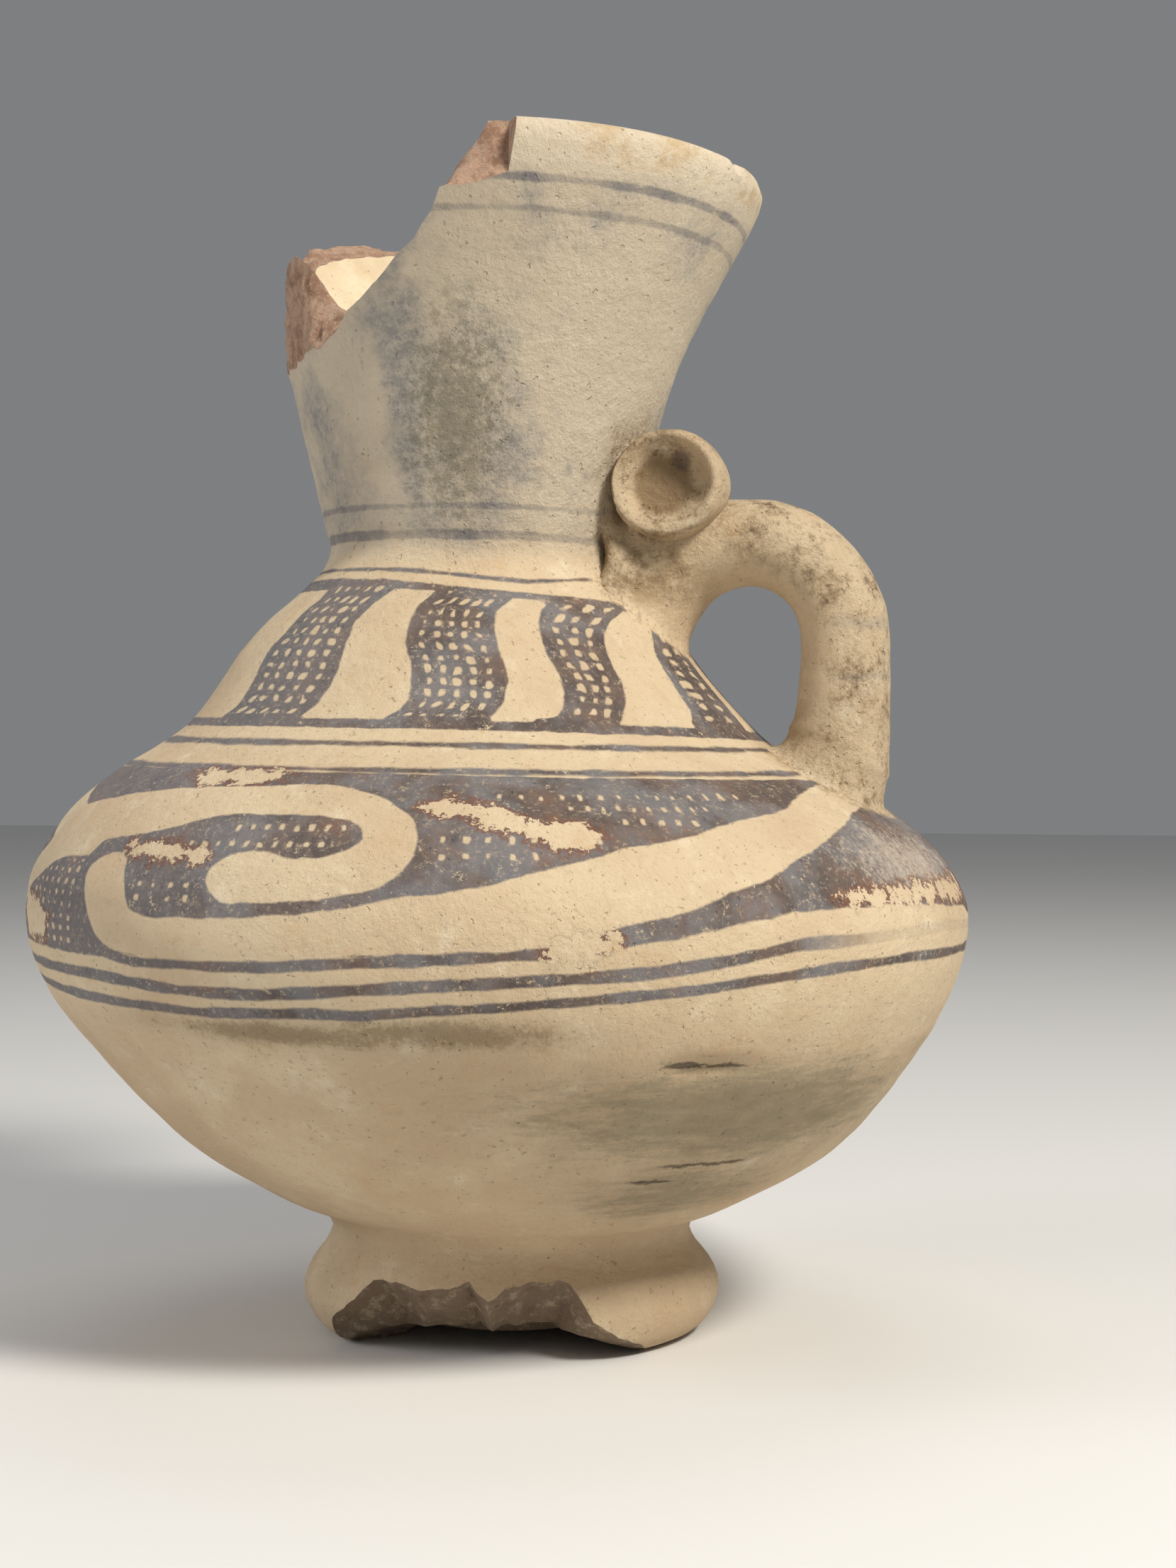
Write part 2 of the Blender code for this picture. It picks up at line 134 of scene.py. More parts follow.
# Chips of the foot: angle, height of the upper edge, height of the floor, depth from the outer skin
FOOT_CHIPS = (
    (-137, 0.5, 0.2, 2), (-131, 6, 2.5, 6), (-124, 9.5, 4.5, 9), (-116, 15, 5.5, 10),
    (-108, 15.6, 5.5, 10), (-99, 14.8, 6, 9.5), (-92, 15.2, 6.5, 9), (-86, 17, 6.5, 10),
    (-80, 13.5, 5.5, 9), (-75, 16.6, 6.5, 9.5), (-66, 17, 7, 10), (-57, 16.5, 6.5, 9), (-52, 9, 4.5, 8),
    (-44, 5, 3, 7), (-36, 3, 1.6, 5), (-29, 0.5, 0.2, 2))
# A nick in the lip: where it stands, in degrees, and how deep it is
NOTCH_ANGLE = -12.0
NOTCH_DEPTH = 1.5
# Grain of the broken faces, as in the solid
ROUGH_FREQUENCY = 0.24
ROUGH_SHIFT = 37.0

# Painted shapes, as angle in degrees and height in millimetres on the true turned skin. The scroll lies in
# a zone between two heights, and a distance that isn't worked out counts as far outside.
SCROLL_ZONE = (60, 125)
FAR_OUTSIDE = -50.0
WAVE_EDGES = (
    ((-126, 150.7), (-127.5, 148.3), (-128.7, 143.1), (-130.5, 140), (-129.6, 136), (-129, 131.9),
     (-129.3, 128.4), (-131.7, 126.3)),
    ((-98.4, 152.9), (-102.6, 150), (-104.7, 146.1), (-104.4, 141.7), (-103.5, 136.9), (-104.4, 132.4),
     (-106.2, 128.8), (-109.2, 126.3)),
    ((-85.2, 152.6), (-89.1, 149.6), (-90, 146.3), (-89.1, 142.1), (-87, 138.4), (-86.4, 134.3),
     (-86.7, 130.8), (-87.9, 128.8), (-90.6, 127.2)),
    ((-62.1, 151.8), (-66.9, 149.2), (-67.8, 146.3), (-67.2, 142.6), (-65.7, 138.8), (-66, 135.5),
     (-67.5, 131.5), (-71.4, 127.2)),
    ((-50.7, 151.5), (-54.6, 149.6), (-56.4, 146.6), (-56.1, 142.8), (-54.9, 139.3), (-54.3, 136.5),
     (-54.6, 133.4), (-56.4, 130.4), (-58.2, 128.6), (-62.4, 128.1)),
    ((-21.9, 151.3), (-33, 148.5), (-37.2, 145.9), (-39.3, 142.4), (-39, 138.8), (-39, 136),
     (-40.8, 132.4), (-45.6, 127.7)),
    ((-10.8, 151.3), (-16.5, 147.3), (-22.2, 142.8), (-22.2, 138.8), (-23.4, 134.3), (-23.7, 131.3),
     (-26.4, 128.8)))
# On the hidden side, the angle of each panel's two edges at this height
HIDDEN_HEIGHT = 140
HIDDEN_WAVES = ((-2, 5), (17, 36), (51, 73), (88, 107), (122, 146), (160, 181), (197, 214))
HOOK = (
    (-152.7, 97), (-147.3, 101.5), (-145.2, 105), (-141.9, 108.4), (-131.7, 111), (-120, 112.9),
    (-107.7, 113.8), (-93, 114.5), (-89.1, 113.6), (-84.9, 111.7), (-82.2, 109.3), (-81.6, 105.9),
    (-81.9, 102.5), (-84, 98.9), (-86.4, 97), (-92.7, 94.9), (-97.5, 94.3), (-103.8, 93.8),
    (-105.3, 95.1), (-106.2, 97.3), (-106.2, 99.5), (-103.8, 102), (-100.5, 102.9), (-96.9, 102.2),
    (-93.3, 102), (-91.2, 102.8), (-89, 103.9), (-87.8, 105.6), (-88, 107.4), (-90, 108.8),
    (-94.8, 109.3), (-100.5, 109.3), (-108.3, 108.6), (-114, 106.6), (-120.9, 104.7), (-126.3, 103.6),
    (-127.8, 101.1), (-132.6, 100.6), (-136.2, 99.5), (-139.5, 97.6), (-144.9, 94), (-153, 88))
SWEEP = (
    (-120.3, 101.6), (-124.2, 101), (-126.6, 98.9), (-126.3, 94.9), (-124.8, 89.7), (-122.7, 85.2),
    (-120.9, 83.7), (-117, 82.8), (-109.8, 82.5), (-102.3, 83.1), (-95.7, 84), (-81, 86.1), (-66, 87.6),
    (-63, 89.7), (-58.5, 91.8), (-54, 93.2), (-48.6, 96), (-44.7, 97.9), (-40.5, 99.5), (-36.6, 102),
    (-30.6, 104.7), (-24, 107.7), (-19.2, 109.4), (-15, 111), (-4, 112.5), (6, 112), (16, 109.5),
    (27, 106), (38, 102), (44, 108), (40, 109), (28, 112.5), (14, 116), (-2, 117.4), (-21, 115),
    (-28.8, 112.4), (-32.1, 111.2), (-38.4, 110.1), (-43.8, 108.6), (-50.4, 106.3), (-57.6, 104.7),
    (-61.2, 103.1), (-66, 101.3), (-70.8, 99.5), (-75, 97.6), (-79.5, 96.5), (-83.7, 95.7), (-86.7, 94.6),
    (-91.2, 93), (-97.5, 91.8), (-104.1, 90.9), (-113.7, 90.3), (-117, 91.2), (-118.8, 97))
FLAKES = (
    ((-81.6, 111.2), (-77.4, 112.7), (-72.9, 112), (-67.8, 109.6), (-63.6, 109.3), (-60, 106.8),
     (-63, 104.5), (-66.9, 105.6), (-71.1, 107), (-74.7, 108.9), (-78, 110)),
    ((-120.5, 102.9), (-113, 103.1), (-106.5, 102.6), (-106.8, 100.8), (-112, 101.1), (-119.5, 101.2)),
    ((-148, 92), (-141, 91), (-136, 87.5), (-138, 83), (-146, 84)),
    ((-33, 95.6), (-25, 96.8), (-12, 97.2), (4, 96.6), (4, 94.4), (-12, 93.6), (-30, 94.2)),
    ((-68.5, 87.5), (-63.5, 90.6), (-60.5, 90), (-60, 87.6), (-63, 84.9), (-68, 84.8)),
    ((-119, 115.6), (-107, 116.9), (-100, 116.4), (-106, 114.5), (-117, 114.3)))
FIELD_TOP = ((-180, 116.2), (-120, 116.6), (-60, 117.2), (-15, 117.8), (60, 116.6), (180, 116.2))
FIELD_BOTTOM = (
    (-180, 86.5), (-150, 82), (-128, 81.5), (-100, 82.5), (-80, 85.4), (-66, 87.5), (-63.6, 86.9),
    (-54.3, 89.1), (-48.6, 90.9), (-40.8, 93), (-33.3, 93.5), (-24, 93.8), (0, 92), (20, 84), (60, 82),
    (80, 83), (112, 87), (140, 91.5), (160, 90), (180, 86.5))
BAND_A = ((-180, 82.6), (-150, 83), (-135, 83.6), (-123.6, 83.1), (-117, 81.4), (-99, 82.2), (-94.5, 83.1),
          (-81, 84.9), (-68.4, 86.4), (-50, 88.4), (-20, 89), (20, 87), (60, 82.4), (120, 86), (180, 82.6))
BAND_B = (
    (-180, 79), (-143.1, 77.9), (-124.8, 77.9), (-110.4, 76.8), (-99.6, 77.1), (-85.2, 79.6),
    (-74.1, 81.1), (-63.9, 82.2), (-57, 83.1), (-48, 85.2), (-39.6, 87.6), (-10, 89), (30, 86), (60, 80),
    (120, 80), (180, 79))
BAND_C = (
    (-180, 75), (-134.7, 73.2), (-120.9, 72.9), (-107.4, 72.9), (-93.3, 74.3), (-88.5, 74.3),
    (-79.8, 75.9), (-72.6, 76.8), (-59.7, 78.8), (-50.7, 80.2), (-44.4, 81.6), (-33.6, 83.1), (-20.7, 84),
    (20, 83.5), (60, 77), (120, 76), (180, 75))
WAVE_FLOOR = (
    (-180, 125.4), (-130, 125.7), (-90, 126.4), (-62, 127), (-20, 127.2), (60, 126.4), (180, 125.4))
SHOULDER_LINE = ((-180, 157.2), (-135, 157.5), (-101, 157.3), (-85, 156.6), (-66, 155.7), (-56, 155.5),
                 (-24, 157.2), (-7, 159.3), (20, 157.6), (90, 156), (180, 157.2))
WAVE_TOP = (
    (-180, 155.3), (-132, 155.6), (-105, 155.2), (-91, 154.5), (-71, 153.6), (-53, 153.2), (-30, 152.7),
    (0, 152.7), (90, 154), (180, 155.3))
WAVE_BORDER = (
    (-180, 152.8), (-97, 152.9), (-85, 152.9), (-62, 151.8), (-50, 151.6), (-23, 150.9), (20, 151.2),
    (90, 152), (180, 152.8))
LEDGE_TILT = ((-180, 0), (-120, 0), (-60, 1.1), (-10, 2.1), (60, 1.0), (180, 0))

# Rows of light dots left in the scroll's dark fields: angle and height of the first and last, how many, and
# half the size of one
DOT_ROWS = (
    (-72.6, 113.3, -38, 114.1, 14, 0.42), (-63.6, 111.5, -45, 111.8, 10, 0.42),
    (-57.3, 109.4, -47.7, 109.3, 5, 0.6), (-79, 105.9, -61, 105.9, 8, 0.58),
    (-79, 102.9, -68.7, 103.1, 5, 0.58), (-104.7, 107, -90.9, 107.2, 8, 0.48),
    (-110.4, 103.8, -93, 104.5, 10, 0.48), (-116, 96.3, -108.9, 96.5, 4, 0.5),
    (-116, 93.9, -108.6, 94, 4, 0.5))
# Scars of the lower body: angle of the middle, half the angle that it spans, height and half its width
SCARS = (
    (-50.8, 3.2, 65.9, 0.45), (-45.5, 3.2, 65.7, 0.16), (-41.5, 8.0, 45.1, 0.10),
    (-49.0, 4.2, 41.6, 0.12))

# Light dots of the wavy panels: how many columns in each panel of the front and of the hidden side, how far
# the dots keep from a panel's edge, how far apart their rows are and how wide a column counts as being
FRONT_COLUMNS = (5, 5, 3)
LAST_COLUMNS = 2
HIDDEN_COLUMNS = 5
WAVE_MARGIN = 1.9
ROW_PITCH = 2.3
COLUMN_WIDTH = 3.0
# A leaning edge makes a panel narrower than it is along the round
EDGE_LEAN = 0.94

# The scroll's motif comes once in half a turn, from this angle on. Its dots stand a pitch apart, in degrees,
# up to an end, and below a level. Its rows of dots are measured round the belly.
MOTIF_REPEAT = 180.0
MOTIF_START = -165.0
SCROLL_PITCH = 2.1
SCROLL_END = -127.0
SCROLL_LEVEL = 104.0
DOT_RADIUS = 88

# Plain painted lines: height of the middle and half the width; those of the neck also have a strength
LEDGE_LINES = ((121.7, 0.62), (116.9, 0.55))
NECK_LINES = ((170.2, 0.55, 0.7), (164.6, 0.95, 0.9), (229.2, 0.75, 1.0), (224.0, 0.6, 0.7))

# Soft patches of dirt and wear: angle, height, how wide in degrees, how tall, and how strong
PATCHES = {
    "deposit": ((-40, 56, 36, 13, 1.0), (-44, 38, 26, 9, 0.8)),
    "sandy": ((-78, 71.5, 16, 3.6, 1.0), (-98, 70, 22, 2.6, 1.0)),
    "grime": ((-80, 187, 17, 22, 1.0),),
    "cream patch": ((-26, 196, 24, 20, 1.0),),
    "blue strip": ((-134, 185, 7, 16, 1.0), (-97, 192, 6, 26, 1.0)),
    "bleached": ((-12, 101, 19, 9, 1.0), (168, 101, 10, 6, 1.0))}


def deselect():
    if bpy.context.object and bpy.context.object.mode != "OBJECT":
        bpy.ops.object.mode_set(mode="OBJECT")
    bpy.ops.object.select_all(action="DESELECT")


def pick(thing):
    deselect()
    thing.select_set(True)
    bpy.context.view_layer.objects.active = thing


def smooth_line(points, spacing, closed=False):
    """Points on a rounded line through the given ones, a spacing apart: a number, or a table by height."""
    points = np.array(points, float)
    if closed:
        points = np.vstack([points[-1], points, points[:2]])
    else:
        points = np.vstack([2 * points[0] - points[1], points, 2 * points[-1] - points[-2]])
    fine = []
    for before, start, end, after in zip(points, points[1:], points[2:], points[3:]):
        sides = ((before, start), (start, end), (end, after))
        gaps = [max(1e-6, np.linalg.norm(b - a)) ** 0.5 for a, b in sides]
        into = (start - before) / gaps[0] - (end - before) / (gaps[0] + gaps[1]) + (end - start) / gaps[1]
        out = (end - start) / gaps[1] - (after - start) / (gaps[1] + gaps[2]) + (after - end) / gaps[2]
        into, out = into * gaps[1], out * gaps[1]
        for share in np.arange(0, 1, 0.05):
            square, cube = share ** 2, share ** 3
            fine.append(start * (2 * cube - 3 * square + 1) + into * (cube - 2 * square + share)
                        + end * (3 * square - 2 * cube) + out * (cube - square))
    fine = np.array(fine + [points[-2]])
    steps = np.linalg.norm(np.diff(fine, axis=0), axis=1)
    if not np.isscalar(spacing):
        spacing = np.interp((fine[1:, 1] + fine[:-1, 1]) / 2, *np.array(spacing, float).T)
    travel = np.concatenate([[0], np.cumsum(steps / spacing)])
    stops = np.linspace(0, travel[-1], max(2, round(travel[-1])) + 1)
    return np.stack([np.interp(stops, travel, fine[:, axis]) for axis in range(fine.shape[1])], 1)


def table(rows, value):
    rows = np.array(rows, float)
    return np.interp(value, rows[:, 0], rows[:, 1])


SKIN_LINE = smooth_line(SKIN, ROW_SPACING)
SKIN_LENGTH = np.concatenate([[0], np.cumsum(np.linalg.norm(np.diff(SKIN_LINE, axis=0), axis=1))])


def skin_radius(height):
    return np.interp(height, SKIN_LINE[:, 1], SKIN_LINE[:, 0])


def inner_line():
    """The inner skin, from above the floor to the mouth."""
    line = smooth_line(SKIN[6:38], 2.6)
    step = np.gradient(line, axis=0)
    step /= np.linalg.norm(step, axis=1)[:, None]
    moved = line + np.stack([-step[:, 1], step[:, 0]], 1) * WALL
    return moved[moved[:, 1] > FLOOR_HEIGHT + WALL * 0.35]


def settle(points):
    """Moves points of the true turned shape, in millimetres, to where the uneven pot has them."""
    share = points[:, 2] / HEIGHT
    side = np.array([math.cos(DRIFT_ANGLE), math.sin(DRIFT_ANGLE)])
    across = points[:, :2] @ side
    moved = points.copy()
    moved[:, :2] += np.outer(table(DRIFT, share), side)
    moved[:, 2] -= across * np.tan(np.radians(table(SLOPE, share)))
    moved[:, 2] -= points[:, 1] * np.tan(np.radians(table(TIP, share)))
    return moved


def unsettle(points):
    guess = points.copy()
    for _ in range(12):
        guess = points - (settle(guess) - guess)
    return guess


def read_points(thing):
    flat = np.empty(len(thing.data.vertices) * 3, np.float64)
    thing.data.vertices.foreach_get("co", flat)
    return flat.reshape(-1, 3) / MM


def write_points(thing, points):
    thing.data.vertices.foreach_set("co", (points * MM).ravel())
    thing.data.update()


def turned(name, line, steps):
    """Draws a profile with one vertex that is extruded along it, and spins it round the axis."""
    deselect()
    bpy.ops.mesh.primitive_plane_add(size=MM, location=(line[0][0] * MM, 0, line[0][1] * MM))
    thing = bpy.context.object
    thing.name = thing.data.name = name
    bpy.ops.object.mode_set(mode="EDIT")
    bpy.ops.mesh.merge(type="CENTER")
    for start, end in zip(line, line[1:]):
        step = ((end[0] - start[0]) * MM, 0, (end[1] - start[1]) * MM)
        bpy.ops.mesh.extrude_vertices_move(TRANSFORM_OT_translate={"value": step})
    bpy.ops.mesh.select_all(action="SELECT")
    bpy.ops.mesh.spin(steps=steps, angle=2 * math.pi, center=(0, 0, 0), axis=(0, 0, 1))
    bpy.ops.mesh.select_all(action="SELECT")
    bpy.ops.mesh.remove_doubles(threshold=0.01 * MM)
    bpy.ops.mesh.normals_make_consistent(inside=False)
    bpy.ops.object.mode_set(mode="OBJECT")
    bpy.ops.object.transform_apply(location=True, rotation=True, scale=True)
    return thing


def lumps(points, scale, shift=0.0):
    """A smooth random number from -1 to 1 at every point, with bumps about a scale wide."""
    return np.array([noise.noise(Vector((x / scale + shift, y / scale, z / scale))) for x, y, z in points])


def uneven(points):
    """How far a throwing hand and a long burial left each point of the skin out from the true form."""
    turn = np.arctan2(points[:, 1], points[:, 0])
    height = points[:, 2]
    ridge = np.sin(height / 1.05 + 0.6 * np.sin(turn + 1.0) + 0.35 * np.sin(3 * turn))
    plain = np.interp(height, (0, 22, 30, 66, 76, 122, 158, 172, 225, 240),
                      (0.1, 0.3, 1, 1, 0.35, 0.25, 0.3, 0.9, 0.7, 0.2))
    out = 0.10 * ridge * plain * (0.6 + 0.6 * lumps(points, 34, 9))
    out += 0.55 * lumps(points, 46) + 0.28 * lumps(points, 15, 5) * (0.4 + plain)
    degrees = np.degrees(turn)
    deposit = blob(degrees, height, -32, 56, 30, 11)
    out += deposit * (0.35 + 0.45 * lumps(points, 4.5, 3) + 0.3 * lumps(points, 2.4, 8))
    rough = blob(degrees, height, -77, 184, 14, 13)
    out += rough * (0.35 * lumps(points, 5.0, 1) + 0.3 * lumps(points, 2.6, 4))
    scar = blob(degrees, height, -48.5, 65.6, 6.5, 1.7)
    return (out - 1.5 * scar) * np.interp(height, (0, 3), (0, 1))


def blob(degrees, height, middle, level, width, tall):
    """A soft patch of the skin: 1 in its middle, falling to 0 a width and a height away."""
    away = (degrees - middle + 180) % 360 - 180
    return np.exp(-((away / width) ** 2 + ((height - level) / tall) ** 2) * 1.2)


def body():
    line = np.vstack([UNDERSIDE, SKIN_LINE, [[0.0, HEIGHT]]])
    thing = turned("body", line, TURN_STEPS)
    points = read_points(thing)
    radius = np.hypot(points[:, 0], points[:, 1])
    on_skin = (points[:, 2] > 0.5) & (points[:, 2] < HEIGHT)
    on_skin &= np.abs(radius - skin_radius(points[:, 2])) < 1.5
    out = np.where(on_skin, uneven(points), 0.0) / np.maximum(radius, 1)
    points[:, :2] *= (1 + out)[:, None]
    degrees = np.degrees(np.arctan2(points[:, 1], points[:, 0]))
    at_rim = radius > RIM_RADIUS - WALL
    notch = NOTCH_DEPTH * blob(degrees, points[:, 2], NOTCH_ANGLE, HEIGHT, 2.2, 3.5)
    points[:, 2] -= np.where(at_rim, notch, 0)
    write_points(thing, settle(points))
    return thing


def cavity():
    line = inner_line()
    top = line[-1]
    floor = [(line[0][0] * share, FLOOR_HEIGHT + rise)
             for share, rise in ((0.0, 0.0), (0.3, 0.05), (0.6, 0.4), (0.85, 1.4))]
    above = [(top[0] + 2.5, HEIGHT + CUT_MARGIN), (0.0, HEIGHT + CUT_MARGIN)]
    thing = turned("cavity", np.vstack([floor, line, above]), INNER_STEPS)
    points = read_points(thing)
    ridges = 0.22 * np.sin(points[:, 2] / 1.6 + np.arctan2(points[:, 1], points[:, 0]))
    inner = (points[:, 2] > FLOOR_HEIGHT + 6) & (points[:, 2] < HEIGHT - 4)
    radius = np.maximum(np.hypot(points[:, 0], points[:, 1]), 1)
    points[:, :2] *= (1 + np.where(inner, ridges, 0) / radius)[:, None]
    write_points(thing, settle(points))
    return thing


def handle():
    """A round rod along a curve, pressed out sideways, its roots spread onto the neck and shoulder."""
    bend_x, bend_z = HANDLE_REACH - HANDLE_BEND, HANDLE_CROWN - HANDLE_BEND
    start = NECK_RADIUS - ROOT_BURY
    path = [(start - 1.5, HANDLE_CROWN - 5.2, 1.62), (start + 1.5, HANDLE_CROWN - 4.8, 1.5),
            (start + 4.5, HANDLE_CROWN - 4.0, 1.3),
            (start + (bend_x - start) * 0.33, HANDLE_CROWN - 2.8, 1.17),
            (start + (bend_x - start) * 0.65, HANDLE_CROWN - 0.8, 1.05)]
    for turn in np.radians(np.linspace(0, 90, 8)):
        path.append((bend_x + HANDLE_BEND * math.sin(turn), bend_z + HANDLE_BEND * math.cos(turn), 1.0))
    drop = bend_z - HANDLE_END_HEIGHT
    path += [(HANDLE_REACH + lean, bend_z - drop * share, swell) for share, lean, swell in HANDLE_DROP]
    path = smooth_line(path, 1.1)
    deselect()
    bpy.ops.curve.primitive_nurbs_path_add(location=(0, 0, 0))
    rod = bpy.context.object
    rod.data.splines.clear()
    spline = rod.data.splines.new("POLY")
    spline.points.add(len(path) - 1)
    for point, (x, z, swell) in zip(spline.points, path):
        point.co = (x * MM, 0, z * MM, 1)
        point.radius = swell
    rod.data.bevel_depth = HANDLE_THICKNESS / 2 * MM
    rod.data.bevel_resolution = 14
    rod.data.use_fill_caps = True
    bpy.ops.object.convert(target="MESH")
    rod = bpy.context.object
    rod.name = "handle"
    bpy.ops.object.mode_set(mode="EDIT")
    bpy.ops.mesh.select_all(action="SELECT")
    bpy.ops.transform.resize(value=(1, HANDLE_WIDTH / HANDLE_THICKNESS, 1), center_override=(0, 0, 0))
    bpy.ops.mesh.remove_doubles(threshold=0.02 * MM)
    bpy.ops.mesh.normals_make_consistent(inside=False)
    bpy.ops.object.mode_set(mode="OBJECT")
    points = read_points(rod)
    under = np.clip(1.8 * ((HANDLE_CROWN - points[:, 2]) / HANDLE_THICKNESS - 0.17), 0, 1)
    inner = np.clip(2 * (HANDLE_REACH - points[:, 0]) / HANDLE_THICKNESS, 0, 1)
    upper_run = points[:, 0] < bend_x
    down = np.where(upper_run, table(UPPER_WEB, points[:, 0]) * under ** 2, 0)
    points[:, 0] -= np.where(upper_run, 0, table(LOWER_WEB, points[:, 2]) * inner ** 2)
    points[:, 2] -= down
    middle = np.array([points[:, 0].mean(), 0, points[:, 2].mean()])
    away = points - middle
    away /= np.linalg.norm(away, axis=1)[:, None]
    write_points(rod, points + away * (0.45 * lumps(points, 13, 2) + 0.2 * lumps(points, 5, 6))[:, None])
    return rod


def ear():
    """A thick clay disc with a thumb-pressed dish on either face."""
    deselect()
    bpy.ops.mesh.primitive_cylinder_add(vertices=EAR_SIDES, radius=EAR_RADIUS * MM, depth=EAR_THICKNESS * MM)
    thing = bpy.context.object
    thing.name = "ear"
    bpy.ops.object.mode_set(mode="EDIT")
    work = bmesh.from_edit_mesh(thing.data)
    for side in (1, -1):
        for inset, push in EAR_STEPS:
            bpy.ops.mesh.select_all(action="DESELECT")
            work.faces.ensure_lookup_table()
            cap = max(work.faces, key=lambda face:
                      (len(face.verts) == EAR_SIDES) * side * face.calc_center_median().z)
            cap.select = True
            bmesh.update_edit_mesh(thing.data)
            bpy.ops.mesh.inset(thickness=inset * MM, depth=0)
            bpy.ops.transform.translate(value=(0, 0, -side * push * MM))
            work = bmesh.from_edit_mesh(thing.data)
    bpy.ops.object.mode_set(mode="OBJECT")
    rounding = thing.modifiers.new("rounding", "SUBSURF")
    rounding.levels = rounding.render_levels = 2
    bpy.ops.object.modifier_apply(modifier=rounding.name)
    points = read_points(thing)
    widen = EAR_RADIUS / np.hypot(points[:, 0], points[:, 1]).max()
    points[:, :2] *= widen
    points[:, 2] *= EAR_THICKNESS / (points[:, 2].max() - points[:, 2].min())
    points[:, 1] *= EAR_SQUASH
    points = points @ np.array(Matrix.Rotation(math.radians(90), 3, "X")).T
    points += (EAR_PLACE[0], EAR_THICKNESS / 2 - EAR_FACE_OFFSET, EAR_PLACE[1])
    points[:, 1] += 0.5 * lumps(points, 9, 4)
    points[:, [0, 2]] += 0.5 * np.stack([lumps(points, 10, 1), lumps(points, 10, 7)], 1)
    write_points(thing, points)
    return thing


def spread(rows, step):
    rows = np.array(rows, float)
    filled = []
    for first, last in zip(rows, rows[1:]):
        count = max(1, math.ceil(abs(last[0] - first[0]) / step))
        filled += [first + (last - first) * index / count for index in range(count)]
    return np.array(filled + [rows[-1]])


def jagged(angle, radius, height, size):
    """A point on the edge of a broken face, pushed in its own section just as in the solid."""
    place = Vector((math.radians(angle) * radius, radius, height)) * ROUGH_FREQUENCY
    out, up = noise.noise(place), noise.noise(place + Vector((0, 0, ROUGH_SHIFT)))
    return radius + out * size, height + up * size


def torn(angle, corners, sizes, count, roughness):
    """Points across a broken face: its corners pushed as in the solid, what lies between torn rough."""
    corners = [jagged(angle, *corner, size) for corner, size in zip(corners, sizes)]
    points = []
    for start, end in zip(corners, corners[1:]):
        step = Vector(end) - Vector(start)
        square = Vector((-step.y, step.x)).normalized()
        for share in np.linspace(0, 1, count, endpoint=False):
            point = Vector(start) + step * share
            place = Vector((math.radians(angle) * point.x, point.x, point.y))
            push = 0.8 * noise.noise(place * 0.5) + 0.5 * noise.noise(place * 1.1 + Vector((7, 0, 0)))
            points.append(point + square * push * roughness * min(1, 4 * share * (1 - share)))
    return [tuple(point) for point in points] + [corners[-1]]


def bar(name, angles, sections):
    """Skins a closed bar over equal sections, each a ring of (radius, height), set round the axis."""
    work = bmesh.new()
    rings = []
    for angle, section in zip(angles, sections):
        turn = math.radians(angle)
        section = np.array(section)
        ring = np.stack([section[:, 0] * math.cos(turn), section[:, 0] * math.sin(turn), section[:, 1]], 1)
        rings.append([work.verts.new(point * MM) for point in settle(ring)])
    count = len(rings[0])
    for ring, following in zip(rings, rings[1:]):
        for index in range(count):
            other = (index + 1) % count
            work.faces.new((ring[index], ring[other], following[other], following[index]))
    work.faces.new(rings[0])
    work.faces.new(list(reversed(rings[-1])))
    bmesh.ops.triangulate(work, faces=work.faces)
    bmesh.ops.recalc_face_normals(work, faces=work.faces)
    if work.calc_volume(signed=True) < 0:
        bmesh.ops.reverse_faces(work, faces=work.faces)
    mesh = bpy.data.meshes.new(name)
    work.to_mesh(mesh)
    work.free()
    thing = bpy.data.objects.new(name, mesh)
    bpy.context.scene.collection.objects.link(thing)
    return thing


def rim_break():
    inside = inner_line()
    rows = spread(RIM_BREAK, 1.0)
    top, clear = HEIGHT + CUT_MARGIN, RIM_RADIUS + CUT_MARGIN
    sections = []
    for angle, outer_drop, inner_drop in rows:
        outer, inner = HEIGHT - outer_drop, HEIGHT - inner_drop
        outer_radius = float(skin_radius(min(outer, HEIGHT)))
        inner_radius = float(np.interp(inner, inside[:, 1], inside[:, 0]))
        middle = ((outer_radius + inner_radius) / 2, (outer + inner) / 2)
        face = torn(angle, ((outer_radius, outer), middle, (inner_radius, inner)), (0.7, 1.05, 0.7), 6, 0.9)
        sections.append([(CORE_RADIUS, top), (clear, top), (clear, outer), *face, (CORE_RADIUS, inner)])
    return bar("rim break", rows[:, 0], sections)


def foot_break():
    rows = spread(FOOT_CHIPS, 1.3)
    clear, inside = FOOT_RADIUS + CUT_MARGIN, 22.0
    sections = []
    for angle, edge, floor, depth in rows:
        skin = float(np.interp(edge, SKIN_LINE[:25, 1], SKIN_LINE[:25, 0]))
        size = 0.8 * edge / 9.5
        middle = (skin - depth * 0.55, edge * 0.45 + floor * 0.55)
        face = torn(angle, ((skin, edge), middle, (skin - depth, floor)), (size, size, size), 5, size * 0.9)
        sections.append([(clear, -CUT_MARGIN), (clear, edge), *face,
                         (inside, floor * 0.9), (inside, -CUT_MARGIN)])
    return bar("foot break", rows[:, 0], sections)


def cut(thing, other, operation):
    pick(thing)
    join = thing.modifiers.new(other.name, "BOOLEAN")
    join.operation, join.solver, join.object = operation, "EXACT", other
    join.material_mode = "TRANSFER"
    bpy.ops.object.modifier_apply(modifier=join.name)
    bpy.data.objects.remove(other, do_unlink=True)


